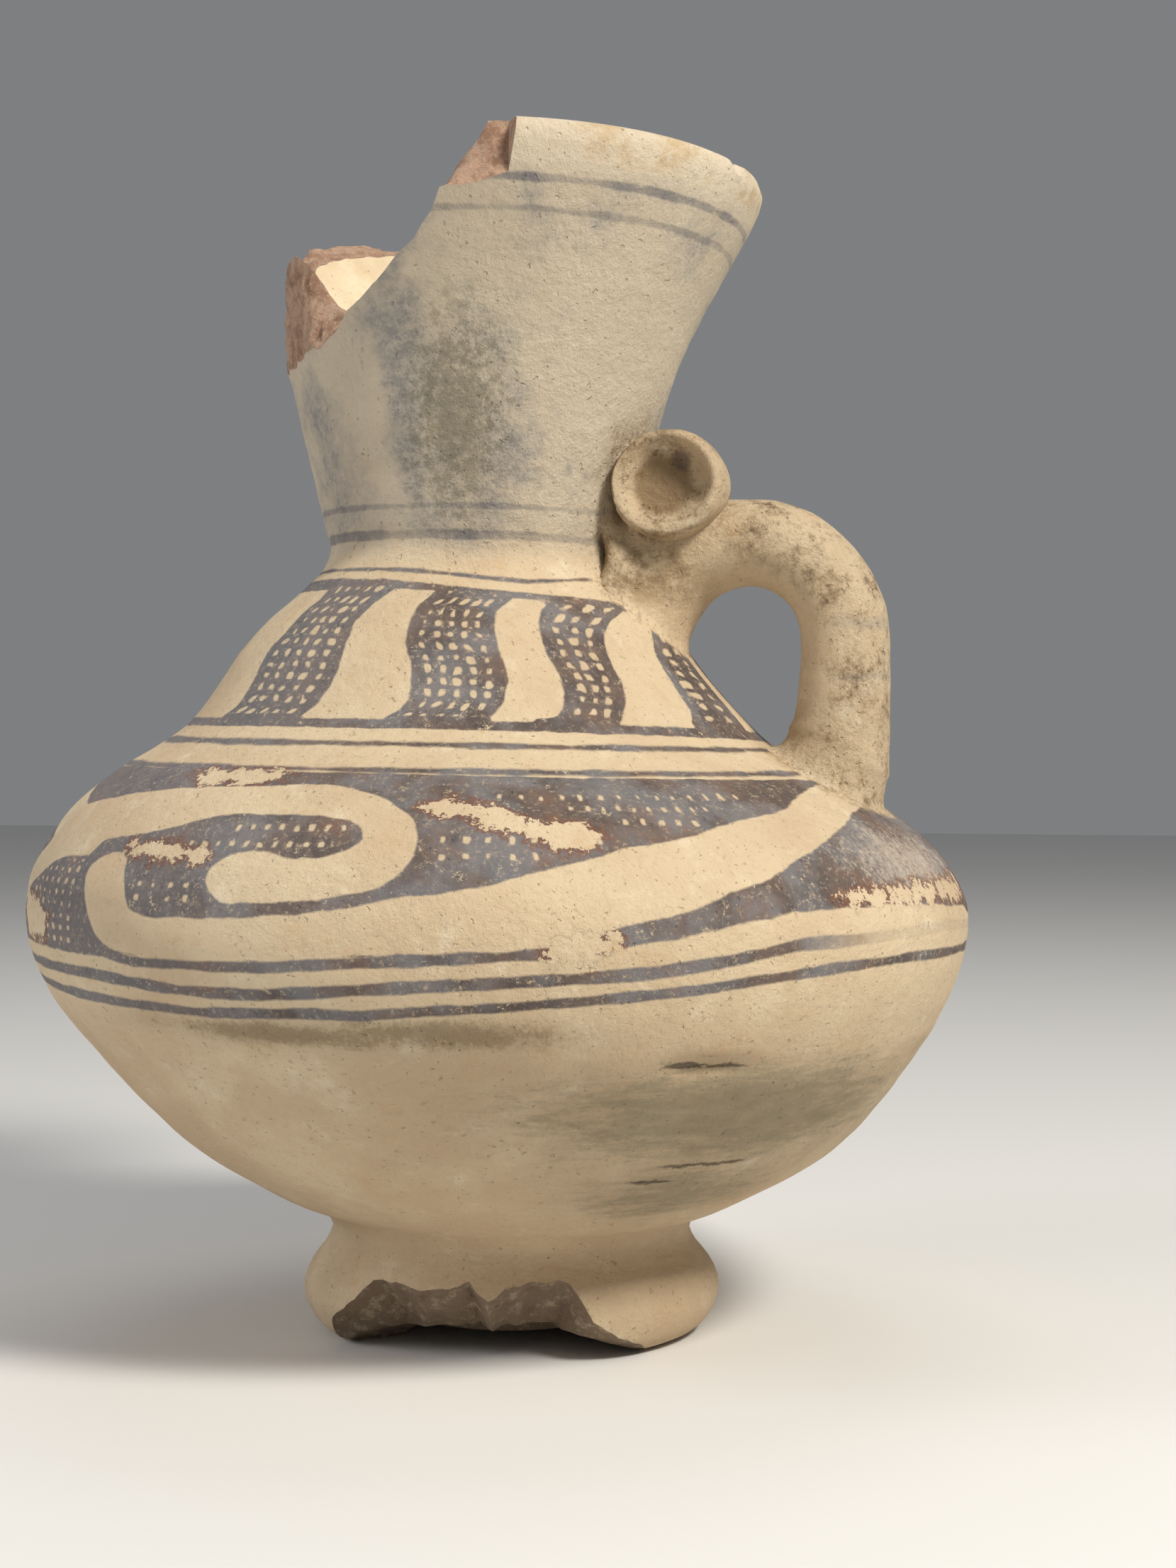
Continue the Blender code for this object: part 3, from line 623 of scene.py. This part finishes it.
def soften_joints(thing, rings, repeat):
    """Rounds the line where handle and ear meet the body, as clay smeared over a joint."""
    pick(thing)
    bpy.ops.object.mode_set(mode="EDIT")
    bpy.ops.mesh.select_mode(type="VERT")
    bpy.ops.mesh.select_all(action="DESELECT")
    work = bmesh.from_edit_mesh(thing.data)
    for edge in work.edges:
        if {face.material_index for face in edge.link_faces} == JOINED:
            edge.verts[0].select = edge.verts[1].select = True
    work.select_flush_mode()
    bmesh.update_edit_mesh(thing.data)
    for _ in range(rings):
        bpy.ops.mesh.select_more()
    bpy.ops.mesh.vertices_smooth(factor=0.5, repeat=repeat)
    bpy.ops.object.mode_set(mode="OBJECT")


def clear_slivers(thing):
    """Takes out most of the slivers that the cuts leave, and makes every face a triangle."""
    pick(thing)
    bpy.ops.object.mode_set(mode="EDIT")
    bpy.ops.mesh.select_all(action="SELECT")
    bpy.ops.mesh.dissolve_degenerate(threshold=0.03 * MM)
    bpy.ops.mesh.quads_convert_to_tris()
    bpy.ops.object.mode_set(mode="OBJECT")


def outline_distance(points, outline):
    """How far, in millimetres, each (angle, height) lies inside a closed painted outline; below 0 outside."""
    outline = smooth_line(outline, 1.2, closed=True)
    radius = skin_radius(points[:, 1])
    along_skin = np.interp(points[:, 1], SKIN_LINE[:, 1], SKIN_LENGTH)
    outline_up = np.interp(outline[:, 1], SKIN_LINE[:, 1], SKIN_LENGTH)
    best = np.full(len(points), 1e9)
    inside = np.zeros(len(points), bool)
    middle = outline[:, 0].mean()
    degrees = (points[:, 0] - middle + 180) % 360 - 180 + middle
    scale = radius * math.pi / 180
    following = np.roll(np.arange(len(outline)), -1)
    for index, after in enumerate(following):
        ax, ay = (outline[index, 0] - degrees) * scale, outline_up[index] - along_skin
        bx, by = (outline[after, 0] - degrees) * scale, outline_up[after] - along_skin
        dx, dy = bx - ax, by - ay
        share = np.clip(-(ax * dx + ay * dy) / (dx * dx + dy * dy + 1e-9), 0, 1)
        best = np.minimum(best, (ax + dx * share) ** 2 + (ay + dy * share) ** 2)
        crosses = (ay > 0) != (by > 0)
        inside ^= crosses & (ax - ay * dx / np.where(np.abs(dy) < 1e-9, 1e-9, dy) > 0)
    return np.sqrt(best) * np.where(inside, 1, -1)


def wave_panels(degrees, height):
    """Distance inside the shoulder's dark panels, and which column of light dots each point stands in."""
    edges = [np.array(edge) for edge in WAVE_EDGES]
    for start, end in HIDDEN_WAVES:
        for value, model in ((start, edges[1]), (end, edges[2])):
            shift = value - table(model[::-1, ::-1], HIDDEN_HEIGHT)
            edges.append(np.stack([model[:, 0] + shift, model[:, 1]], 1))
    lines = [np.interp(height, edge[::-1, 1], edge[::-1, 0]) for edge in edges]
    visible, hidden = lines[:len(WAVE_EDGES)], lines[len(WAVE_EDGES):]
    panels = [*zip(visible[0::2], visible[1::2], FRONT_COLUMNS), (visible[-1], hidden[0], LAST_COLUMNS)]
    panels += [(left, right, HIDDEN_COLUMNS) for left, right in zip(hidden[1:-1:2], hidden[2::2])]
    scale = skin_radius(height) * math.pi / 180
    dark = np.full(len(degrees), FAR_OUTSIDE)
    column = np.zeros(len(degrees))
    for left, right, count in panels:
        turn = (degrees - (left + right) / 2 + 180) % 360 - 180
        half = (right - left) / 2
        inside = (half - np.abs(turn)) * scale * EDGE_LEAN
        dotted = np.maximum(half - WAVE_MARGIN / (scale * EDGE_LEAN), half * 0.3)
        column = np.where(inside > np.maximum(dark, -3), (turn / dotted + 1) / 2 * count, column)
        dark = np.maximum(dark, inside)
    return dark, column


def joint_distance(thing):
    """How far, in millimetres, every point lies from the line where handle and ear meet the body."""
    work = bmesh.new()
    work.from_mesh(thing.data)
    line = [edge.verts[0].co.copy() for edge in work.edges
            if {face.material_index for face in edge.link_faces} == JOINED]
    tree = kdtree.KDTree(len(line))
    for index, place in enumerate(line):
        tree.insert(place, index)
    tree.balance()
    away = np.array([tree.find(vert.co)[2] for vert in work.verts]) / MM
    work.free()
    return away


def measure(thing):
    """Writes onto the finished pot where every point lies against each painted shape and each patch."""
    true = unsettle(read_points(thing))
    degrees = np.degrees(np.arctan2(true[:, 1], true[:, 0]))
    height = np.clip(true[:, 2], 0, HEIGHT)
    flat = np.stack([degrees, height], 1)
    zone = (height > SCROLL_ZONE[0]) & (height < SCROLL_ZONE[1])
    scroll, flake = np.full(len(flat), FAR_OUTSIDE), np.full(len(flat), FAR_OUTSIDE)
    light = np.full(zone.sum(), FAR_OUTSIDE)
    for outline in (HOOK, SWEEP):
        for shift in (0, MOTIF_REPEAT):
            light = np.maximum(light, outline_distance(flat[zone] + (shift, 0), outline))
    # How much longer a stretch of the leaning skin is than the height that it climbs
    slant = np.hypot(*np.gradient(SKIN_LINE, axis=0).T) / np.maximum(np.gradient(SKIN_LINE[:, 1]), 1e-3)
    slant = np.clip(np.interp(height, SKIN_LINE[:, 1], slant), 1, 3)
    top = table(FIELD_TOP, degrees[zone]) - height[zone]
    bottom = height[zone] - table(FIELD_BOTTOM, degrees[zone])
    scroll[zone] = np.minimum(np.minimum(top, bottom) * slant[zone], -light)
    for outline in FLAKES:
        flake[zone] = np.maximum(flake[zone], outline_distance(flat[zone], outline))
    dark, column = wave_panels(degrees, height)
    floor = (height - table(WAVE_FLOOR, degrees)) * slant
    ceiling = (table(WAVE_TOP, degrees) - height) * slant
    border = (height - table(WAVE_BORDER, degrees)) * slant
    wave = np.minimum(np.minimum(floor, ceiling), np.maximum(dark, border))
    wave = np.maximum(wave, np.minimum(floor + 2.0, -floor + 0.7))
    distances = {"scroll": scroll, "flake": flake, "wave": wave, "column": column, "level": height,
                 "joint": joint_distance(thing)}
    for name, rows in (("band a", BAND_A), ("band b", BAND_B), ("band c", BAND_C), ("ledge", LEDGE_TILT),
                       ("shoulder", SHOULDER_LINE)):
        distances[name] = height - table(rows, degrees)
    for name, rows in PATCHES.items():
        patches = [blob(degrees, height, *row[:4]) * row[4] for row in rows]
        distances[name] = np.max(patches, axis=0)
    for name, values in distances.items():
        layer = thing.data.attributes.new(name, "FLOAT", "POINT")
        layer.data.foreach_set("value", values.astype(np.float32))


class Value:
    """A shader socket that can stand in a sum, so that maths on masks reads as maths."""

    def __init__(self, finish, socket):
        self.finish, self.socket = finish, socket

    def maths(self, operation, *others):
        return self.finish.maths(operation, self, *others)

    def __add__(self, other): return self.maths("ADD", other)
    def __radd__(self, other): return self.maths("ADD", other)
    def __mul__(self, other): return self.maths("MULTIPLY", other)
    def __rmul__(self, other): return self.maths("MULTIPLY", other)
    def __sub__(self, other): return self.maths("SUBTRACT", other)
    def __rsub__(self, other): return self.finish.maths("SUBTRACT", other, self)
    def __truediv__(self, other): return self.maths("DIVIDE", other)
    def __abs__(self): return self.maths("ABSOLUTE")
    def fract(self): return self.maths("FRACT")
    def root(self): return self.maths("SQRT")


class Finish:
    """A material and the few ways in which its nodes are made."""

    def __init__(self, name):
        self.material = bpy.data.materials.new(name)
        self.material.use_nodes = True
        self.tree = self.material.node_tree
        self.shader = self.tree.nodes["Principled BSDF"]
        self.place = self.node("ShaderNodeTexCoord", {}, {}, "Object")

    def node(self, kind, settings, inputs, output=0):
        made = self.tree.nodes.new(kind)
        for key, value in settings.items():
            setattr(made, key, value)
        pairs = inputs.items() if isinstance(inputs, dict) else enumerate(inputs)
        for key, value in pairs:
            self.feed(made.inputs[key], value)
        return Value(self, made.outputs[output])

    def maths(self, operation, *values):
        return self.node("ShaderNodeMath", {"operation": operation}, values)

    def larger(self, first, second):
        return self.maths("MAXIMUM", first, second)

    def feed(self, socket, value):
        if isinstance(value, Value):
            self.tree.links.new(value.socket, socket)
        else:
            socket.default_value = value

    def axes(self, vector, count=3):
        """The first of a vector's three numbers, each by itself."""
        return [self.node("ShaderNodeSeparateXYZ", {}, [vector], index) for index in range(count)]

    def grain(self, scale, detail=3.0, rough=0.55, shift=0.0, stretch=(1, 1, 1)):
        """A noise in millimetres: 0 to 1, with blotches about a scale wide."""
        place = self.node("ShaderNodeMapping", {}, {
            "Vector": self.place, "Location": (shift, shift * 0.7, 0),
            "Scale": tuple(share / (scale * MM) for share in stretch)})
        return self.node("ShaderNodeTexNoise", {}, {
            "Vector": place, "Scale": 1.0, "Detail": detail, "Roughness": rough})

    def rise(self, value, low, high):
        """0 below low, 1 above high, with an even slope between."""
        return self.node("ShaderNodeMapRange", {"clamp": True, "interpolation_type": "SMOOTHSTEP"},
                         {"Value": value, "From Min": low, "From Max": high, "To Min": 0.0, "To Max": 1.0})

    def mix(self, share, first, second):
        """Goes from the first colour to the second as the share goes from 0 to 1."""
        made = self.tree.nodes.new("ShaderNodeMix")
        made.data_type = "RGBA"
        for socket, value in ((made.inputs[0], share), (made.inputs[6], first), (made.inputs[7], second)):
            self.feed(socket, value)
        return Value(self, made.outputs[2])

    def stored(self, name):
        """A number that measure() wrote onto every point of the skin."""
        return self.node("ShaderNodeAttribute", {"attribute_name": name}, {}, "Fac")

    def close(self, colour, roughness, height, distance):
        self.feed(self.shader.inputs["Base Color"], colour)
        self.feed(self.shader.inputs["Roughness"], roughness)
        self.shader.inputs["Specular IOR Level"].default_value = 0.32
        bump = self.node("ShaderNodeBump", {}, {
            "Strength": 1.0, "Distance": distance * MM, "Height": height}, "Normal")
        self.feed(self.shader.inputs["Normal"], bump)
        return self.material


CREAM = (0.680, 0.540, 0.360, 1)
BUFF = (0.560, 0.410, 0.260, 1)
PALE = (0.790, 0.680, 0.500, 1)
NECK_PALE = (0.700, 0.630, 0.510, 1)
OCHRE = (0.480, 0.300, 0.110, 1)
ORANGE = (0.560, 0.345, 0.165, 1)
DUST = (0.400, 0.310, 0.200, 1)
GRIT = (0.110, 0.080, 0.050, 1)
PAINT = (0.062, 0.047, 0.050, 1)
PAINT_THIN = (0.125, 0.085, 0.075, 1)
PAINT_BLUE = (0.205, 0.215, 0.240, 1)
PAINT_NECK = (0.120, 0.125, 0.155, 1)
PAINT_WORN = (0.400, 0.360, 0.340, 1)
RUST = (0.200, 0.075, 0.040, 1)
SAND = (0.215, 0.130, 0.055, 1)
OLIVE = (0.270, 0.235, 0.150, 1)
PINK = (0.660, 0.430, 0.300, 1)
DARK_BREAK = (0.420, 0.235, 0.150, 1)
FOOT_BREAK = (0.330, 0.245, 0.165, 1)
FOOT_CRUMB = (0.620, 0.510, 0.350, 1)


def bare_clay(finish):
    """Colour of the unpainted slip: cream with buff clouds, orange specks, pits and grime."""
    broad, middling = finish.grain(34, 4, 0.6), finish.grain(9, 5, 0.7, 3)
    fine = finish.grain(1.5, 4, 0.8, 15)
    colour = finish.mix(finish.rise(broad, 0.36, 0.68) * 0.7, CREAM, BUFF)
    colour = finish.mix(finish.rise(middling, 0.54, 0.72) * 0.55, colour, PALE)
    colour = finish.mix(finish.rise(1.0 - middling, 0.56, 0.74) * 0.5, colour, ORANGE)
    colour = finish.mix(finish.rise(fine, 0.54, 0.74) * 0.5, colour, DUST)
    specks = finish.rise(finish.grain(0.75, 2, 0.6, 5), 0.66, 0.74) * finish.rise(middling, 0.42, 0.55)
    return finish.mix(specks * 0.8, colour, GRIT)


def surface_height(finish):
    """Relief of the clay skin: fine sand, low lumps and a few pits."""
    return finish.grain(2.6, 7, 0.72, 6) * 1.5 - finish.rise(finish.grain(1.2, 1, 0.5, 12), 0.69, 0.80) * 0.6


def painted_clay():
    finish = Finish("painted clay")
    wobble = (finish.grain(5.5, 5, 0.6, 21) - 0.5) * 1.7
    scroll, wave, column, level, joint = map(finish.stored, ("scroll", "wave", "column", "level", "joint"))
    band_a, band_b, band_c, ledge, shoulder = map(
        finish.stored, ("band a", "band b", "band c", "ledge", "shoulder"))
    deposit, sandy, grime, cream, blue_strip, bleached = map(finish.stored, PATCHES)
    across, forward = finish.axes(finish.place, 2)
    turn = forward.maths("ARCTAN2", across) * (180 / math.pi)
    folded = ((turn - MOTIF_START) / MOTIF_REPEAT).fract() * MOTIF_REPEAT + MOTIF_START
    slow = finish.grain(17, 4, 0.6, 55)
    patchy = finish.grain(10, 5, 0.7, 42)
    thin_places = finish.rise(slow, 0.42, 0.62)
    spatter = finish.grain(1.3, 5, 0.85, 19)

    def line(offset, half):
        return finish.rise(half - abs(offset) + wobble * 0.45 + (slow - 0.5) * 1.4, -0.25, 0.35)

    dark = finish.larger(finish.rise(scroll + wobble, -0.25, 0.35), finish.rise(wave + wobble, -0.25, 0.35))
    # The two upper bands stop or fade in front, where the scroll's last wedge takes their place
    front = finish.rise(turn, -64.0, -60.0) * finish.rise(14.0 - turn, 0.0, 6.0)
    fading = finish.rise(turn + wobble * 8, -42.0, -22.0) * finish.rise(14.0 - turn, 0.0, 10.0)
    dark = finish.larger(dark, line(band_a, 1.05) * (1.0 - front))
    dark = finish.larger(dark, line(band_b, 1.15) * (1.0 - fading * 0.85))
    plain_lines = [(ledge - middle, half) for middle, half in LEDGE_LINES]
    for offset, half in [(band_c, 1.0), *plain_lines, (shoulder, 0.45)]:
        dark = finish.larger(dark, line(offset, half))
    neck_lines = 0.0
    for middle, half, share in NECK_LINES:
        neck_lines = finish.larger(neck_lines, line(level - middle, half) * share)

    def dot(aside, off, half):
        """1 inside a rounded light spot, given the distances from its middle across and up."""
        away = (aside * aside + off * off).root() * 0.55 + finish.larger(abs(aside), abs(off)) * 0.45
        return finish.rise(half - away, -0.22, 0.22)

    jitter = finish.node("ShaderNodeTexNoise", {}, {
        "Vector": finish.place, "Scale": 300.0, "Detail": 1.0}, "Color")
    jitter_a, jitter_b, size = [part - 0.5 for part in finish.axes(jitter)]
    off_row = ((level / ROW_PITCH + jitter_b * 0.55).fract() - 0.5) * ROW_PITCH
    aside = ((column + jitter_a * 0.6).fract() - 0.5) * COLUMN_WIDTH
    within = finish.rise(wave, WAVE_MARGIN - 0.5, WAVE_MARGIN)
    wave_dots = dot(aside, off_row, size * 1.4 + 0.60) * within
    aside = ((folded / SCROLL_PITCH + jitter_a * 0.4).fract() - 0.5) * COLUMN_WIDTH
    within = finish.rise(SCROLL_END - folded, 0.0, 2.0) * finish.rise(SCROLL_LEVEL - level, 0, 2)
    scroll_dots = dot(aside, off_row, size * 1.2 + 0.45) * within
    for start, low, end, high, count, half in DOT_ROWS:
        gaps = count - 1
        place = (folded - start) * (gaps / (end - start)) + jitter_a * 0.4
        pitch = math.radians((end - start) / gaps) * DOT_RADIUS
        off_row = (level - low) - place * ((high - low) / gaps) + jitter_b * 1.1
        spot = dot(((place + 0.5).fract() - 0.5) * pitch, off_row, size * 0.9 + half)
        within = finish.rise(count / 2 - abs(place - gaps / 2), 0.0, 0.05)
        scroll_dots = finish.larger(scroll_dots, spot * within)
    scroll_dots = scroll_dots * finish.rise(scroll, 0.7, 1.2) * (1.0 - finish.rise(bleached, 0.15, 0.4))
    dark = dark * (1.0 - finish.larger(wave_dots, scroll_dots) * 0.92)

    # Flaking, scratches and fading, and painted cool light on the left side
    flake = finish.stored("flake") + (finish.grain(4.2, 5, 0.78, 9) - 0.5) * 14.0
    crumbs = finish.rise(finish.grain(2.6, 6, 0.9, 14), 0.60, 0.625) * finish.rise(patchy, 0.42, 0.56)
    loss = finish.larger(finish.rise(flake, -0.15, 0.25), crumbs)
    edge = finish.rise(flake, -1.7, -0.1) * (1.0 - loss)
    scratches = finish.rise(spatter, 0.53, 0.70) * 0.7
    bleaching = finish.rise(bleached * 0.85 + (spatter - 0.5) * 2.2 + (patchy - 0.5) * 1.2, 0.2, 1.0)
    # Painted cool light: 1 on the left side of the pot, towards the cool left lamp, 0 on the right
    cool_lit_side = finish.rise(-85.0 - turn, 0.0, 40.0)
    kept = finish.rise(joint + (patchy - 0.5) * 6, 0.6, 2.6)
    strength = dark * (1.0 - loss) * (1.0 - scratches) * (1.0 - bleaching * 0.3) * kept

    paint = finish.mix(finish.rise(patchy, 0.40, 0.60), PAINT_THIN, PAINT)
    paint = finish.mix(finish.rise(1.0 - patchy, 0.58, 0.72) * 0.75, paint, RUST)
    # The paint turns blue where it is thin, which is fading, and on the left side, which is painted cool
    # light
    paint = finish.mix(finish.larger(thin_places * 0.6, cool_lit_side * 0.45), paint, PAINT_BLUE)
    paint = finish.mix(bleaching * 0.85, paint, PAINT_WORN)
    colour = bare_clay(finish)
    colour = finish.mix(finish.rise(level, 157.0, 168.0) * 0.55, colour, NECK_PALE)
    # Painted shade: the lower body turns darker buff towards the bottom, in broad blotches
    lower_shade = finish.rise(74.0 - level, 0.0, 12.0) * finish.rise(slow, 0.38, 0.62)
    colour = finish.mix(lower_shade * 0.6, colour, BUFF)

    # The neck's worn grey-blue wash, thick to the left and gone in the cream patch by the handle
    neck = finish.rise(level, 158.0, 166.0) * finish.rise(234.0 - level, 0.0, 6.0)
    mottle = finish.rise(finish.grain(2.6, 6, 0.85, 52), 0.38, 0.62)
    cloud = slow * 0.6 + patchy * 0.5 - 0.05 + grime * 0.16 + blue_strip * 0.22 - cream * 0.16
    wash = finish.rise(cloud, 0.44, 0.70) * neck * finish.rise(joint, 0.5, 5.0)
    colour = finish.mix(wash * (mottle * 0.45 + 0.30), colour, PAINT_BLUE)
    colour = finish.mix(finish.rise(grime + mottle * 0.7 - 0.35, 0.30, 0.9) * 0.6, colour, OLIVE)
    neck_lines = neck_lines * (1.0 - scratches) * (0.40 + thin_places * 0.35) * (1.0 - cream * 0.6)
    colour = finish.mix(neck_lines, colour, PAINT_NECK)
    ochre = finish.rise(level, 231.0, 235.0) * finish.rise(patchy, 0.45, 0.62)
    colour = finish.mix(ochre * 0.5, colour, OCHRE)

    # Dirt of the lower body
    streaks = finish.grain(9, 5, 0.65, 64, (1, 1, 6))
    sand = finish.rise(sandy + (spatter - 0.5) * 1.6 + (patchy - 0.5), 0.30, 0.9)
    colour = finish.mix(sand * 0.55, colour, SAND)
    smear = finish.rise(deposit + (streaks - 0.5) * 1.2 + (spatter - 0.5) * 0.8, 0.25, 0.85)
    colour = finish.mix(smear * (0.35 + streaks * 0.5), colour, OLIVE)
    smudge = finish.rise(7.0 - joint + (patchy - 0.5) * 14, 0.0, 7.0)
    colour = finish.mix(smudge * finish.rise(spatter + patchy * 0.4, 0.60, 0.85) * 0.75, colour, SAND)
    colour = finish.mix(strength * 0.94, colour, paint)
    colour = finish.mix(edge * dark * 0.8, colour, RUST)
    ragged = level + (finish.grain(3.0, 5, 0.75, 68) - 0.5) * 2.6
    scar = 0.0
    for middle, span, height, half in SCARS:
        window = finish.rise(span - abs(turn - middle), -0.5, 2.5)
        inside = window * (half + 0.3) - 0.3 - abs(ragged - height)
        scar = finish.larger(scar, finish.rise(inside, -0.35, 0.25))
    colour = finish.mix(scar * 0.8, colour, GRIT)

    crust = grime * 1.4 + deposit * 1.2 + sandy * 1.2 + neck * 0.7 + 1.0
    relief = surface_height(finish) * crust + streaks * deposit * 1.4
    relief = relief - finish.rise(flake, -0.15, 0.25) * 0.25 - scar * 2.4
    return finish.close(colour, 0.76 - strength * 0.14 + spatter * 0.1, relief, 0.60)


# Places in the handle's plane: distance from the axis and height
LOOP_MIDDLE = (50.0, 140.0)
# Middles of the painted shade in the ear's dish and of the darker painted shadow towards its top
DISH_SHADE_MIDDLE = (EAR_PLACE[0] - 0.9, EAR_PLACE[1])
DISH_SHADOW_MIDDLE = (EAR_PLACE[0] + 3.0, EAR_PLACE[1] + 4.6)


def handle_clay():
    finish = Finish("handle clay")
    across, forward, up = [part / MM for part in finish.axes(finish.place)]

    def away(middle):
        """Distance from a point of the handle's plane."""
        x, z = across - middle[0], up - middle[1]
        return (x * x + z * z).root()

    # Weather and hands reached the loop's outer face, 1 here, and not its inner one, 0 here
    outer = finish.rise(away(LOOP_MIDDLE), 18.0, 28.0)
    spatter, patchy = finish.grain(1.5, 5, 0.85, 45), finish.grain(7, 6, 0.8, 33)
    colour = bare_clay(finish)
    colour = finish.mix(finish.rise(patchy, 0.46, 0.62) * (outer * 0.5 + 0.1), colour, SAND)
    colour = finish.mix(finish.rise(patchy + (spatter - 0.5) * 0.5, 0.56, 0.70) * outer * 0.75, colour, GRIT)
    colour = finish.mix(finish.rise(spatter, 0.57, 0.68) * (outer * 0.55 + 0.15), colour, GRIT)
    crease = finish.rise(10.0 - abs(up - 158.0), 0.0, 9.0) * finish.rise(50.0 - across, 0.0, 8.0)
    colour = finish.mix(crease * finish.rise(patchy + spatter * 0.5, 0.55, 0.85) * 0.7, colour, SAND)
    for low, half in ((147.0, 1.3), (136.5, 0.9)):
        faint = finish.rise(half - abs(up - low + (patchy - 0.5) * 7), -0.6, 0.9)
        colour = finish.mix(faint * finish.rise(across, 71.0, 76.0) * 0.45 * spatter, colour, PAINT_BLUE)

    # Painted shade in brown fills the ear's thumb-pressed dish on the near face, with a darker painted shadow
    # towards its top
    near_ear = finish.rise(-4.5 - forward, 0.0, 1.0)
    ragged = (patchy - 0.5) * 3
    dish = finish.rise(6.6 - away(DISH_SHADE_MIDDLE) + ragged, -0.6, 1.6) * near_ear
    colour = finish.mix(dish * 0.75, colour, SAND)
    dish_shadow = finish.rise(2.6 - away(DISH_SHADOW_MIDDLE) + ragged, -0.5, 1.2) * near_ear
    colour = finish.mix(dish_shadow * 0.75, colour, PAINT_THIN)
    relief = surface_height(finish) * (outer * 0.8 + 1.0)
    return finish.close(colour, 0.80 + spatter * 0.1, relief, 0.55)


def inner_clay():
    finish = Finish("inner clay")
    colour = finish.mix(finish.rise(finish.grain(22, 4, 0.6, 71), 0.38, 0.66), CREAM, PALE)
    colour = finish.mix(finish.rise(finish.grain(7, 5, 0.7, 74), 0.54, 0.70) * 0.5, colour, BUFF)
    return finish.close(colour, 0.9, surface_height(finish), 0.45)


def broken_clay():
    """Torn faces: pink and brown at the neck, darker and coarser at the foot."""
    finish = Finish("broken clay")
    patchy, spatter = finish.grain(5.0, 6, 0.8, 81), finish.grain(1.2, 5, 0.85, 84)
    coarse = finish.grain(3.4, 5, 0.75, 87)
    colour = finish.mix(finish.rise(patchy, 0.42, 0.62), PINK, DARK_BREAK)
    colour = finish.mix(finish.rise(spatter, 0.54, 0.68) * 0.6, colour, PALE)
    colour = finish.mix(finish.rise(1.0 - spatter, 0.58, 0.72) * 0.75, colour, GRIT)
    up = finish.axes(finish.place)[2] / MM
    at_foot = finish.rise(20.0 - up, 0.0, 2.0)
    stony = finish.mix(finish.rise(coarse, 0.50, 0.63), FOOT_BREAK, FOOT_CRUMB)
    stony = finish.mix(finish.rise(1.0 - spatter, 0.56, 0.70) * 0.6, stony, GRIT)
    colour = finish.mix(at_foot * 0.85, colour, stony)
    return finish.close(colour, 0.92, patchy * 1.6 + spatter * 1.1 + coarse * at_foot * 3.0, 1.1)


def dress(thing, material):
    thing.data.materials.clear()
    thing.data.materials.append(material)


def pitcher():
    pot, rod, disc, hollow = body(), handle(), ear(), cavity()
    rim, foot = rim_break(), foot_break()
    worn, torn_face = handle_clay(), broken_clay()
    for thing, material in ((pot, painted_clay()), (rod, worn), (disc, worn), (hollow, inner_clay()),
                            (rim, torn_face), (foot, torn_face)):
        dress(thing, material)
    cut(pot, rod, "UNION")
    cut(pot, disc, "UNION")
    soften_joints(pot, 4, 12)
    cut(pot, hollow, "DIFFERENCE")
    cut(pot, rim, "DIFFERENCE")
    cut(pot, foot, "DIFFERENCE")
    clear_slivers(pot)
    measure(pot)
    bpy.ops.object.shade_smooth_by_angle(angle=SMOOTH_ANGLE)
    pot.name = "painted_pitcher"
    return pot


def area_light(name, place, target, size, power, colour):
    direction = Vector(target) - Vector(place)
    facing = direction.to_track_quat("-Z", "Y").to_euler()
    bpy.ops.object.light_add(type="AREA", location=place, rotation=facing)
    lamp = bpy.context.object
    lamp.name = name
    lamp.data.size, lamp.data.energy, lamp.data.color = size, power, colour


def studio():
    deselect()
    bpy.ops.mesh.primitive_plane_add(size=6)
    floor = bpy.context.object
    floor.name = "floor"
    finish = Finish("pale floor")
    finish.shader.inputs["Base Color"].default_value = (0.72, 0.71, 0.69, 1)
    finish.shader.inputs["Roughness"].default_value = 0.7
    floor.data.materials.append(finish.material)
    middle = (0, 0, 0.11)
    area_light("key", (0.80, -0.55, 1.00), middle, 0.28, 20, (1.0, 0.96, 0.88))
    area_light("left", (-1.0, -0.50, 0.60), middle, 0.45, 5, (0.96, 0.97, 1.0))
    area_light("top", (-0.1, 0.5, 1.2), middle, 0.8, 3, (1.0, 0.98, 0.95))
    world = bpy.data.worlds.new("studio")
    bpy.context.scene.world = world
    world.use_nodes = True
    world.node_tree.nodes["Background"].inputs["Color"].default_value = (0.80, 0.82, 0.85, 1)
    world.node_tree.nodes["Background"].inputs["Strength"].default_value = 0.26


# Camera, from the photograph: where the eye stands, and how far it looks right of the axis and down
EYE_DISTANCE = 0.5411
EYE_HEIGHT = 0.1228
EYE_TURN = 17.0
LOOK_RIGHT = 2.06
LOOK_DOWN = 0.89
LENS = 58.59


def camera():
    turn = math.radians(EYE_TURN)
    place = (EYE_DISTANCE * math.sin(turn), -EYE_DISTANCE * math.cos(turn), EYE_HEIGHT)
    facing = Euler((math.radians(90 - LOOK_DOWN), 0, math.radians(EYE_TURN - LOOK_RIGHT)))
    bpy.ops.object.camera_add(location=place, rotation=facing)
    eye = bpy.context.object
    eye.data.lens, eye.data.sensor_width, eye.data.sensor_fit = LENS, 36.0, "AUTO"
    eye.data.clip_start, eye.data.clip_end = 0.01, 50
    bpy.context.scene.camera = eye


pot = pitcher()
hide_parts("pitcher")
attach(pot, "root")
studio()
camera()
bpy.context.scene.view_settings.view_transform = "Standard"
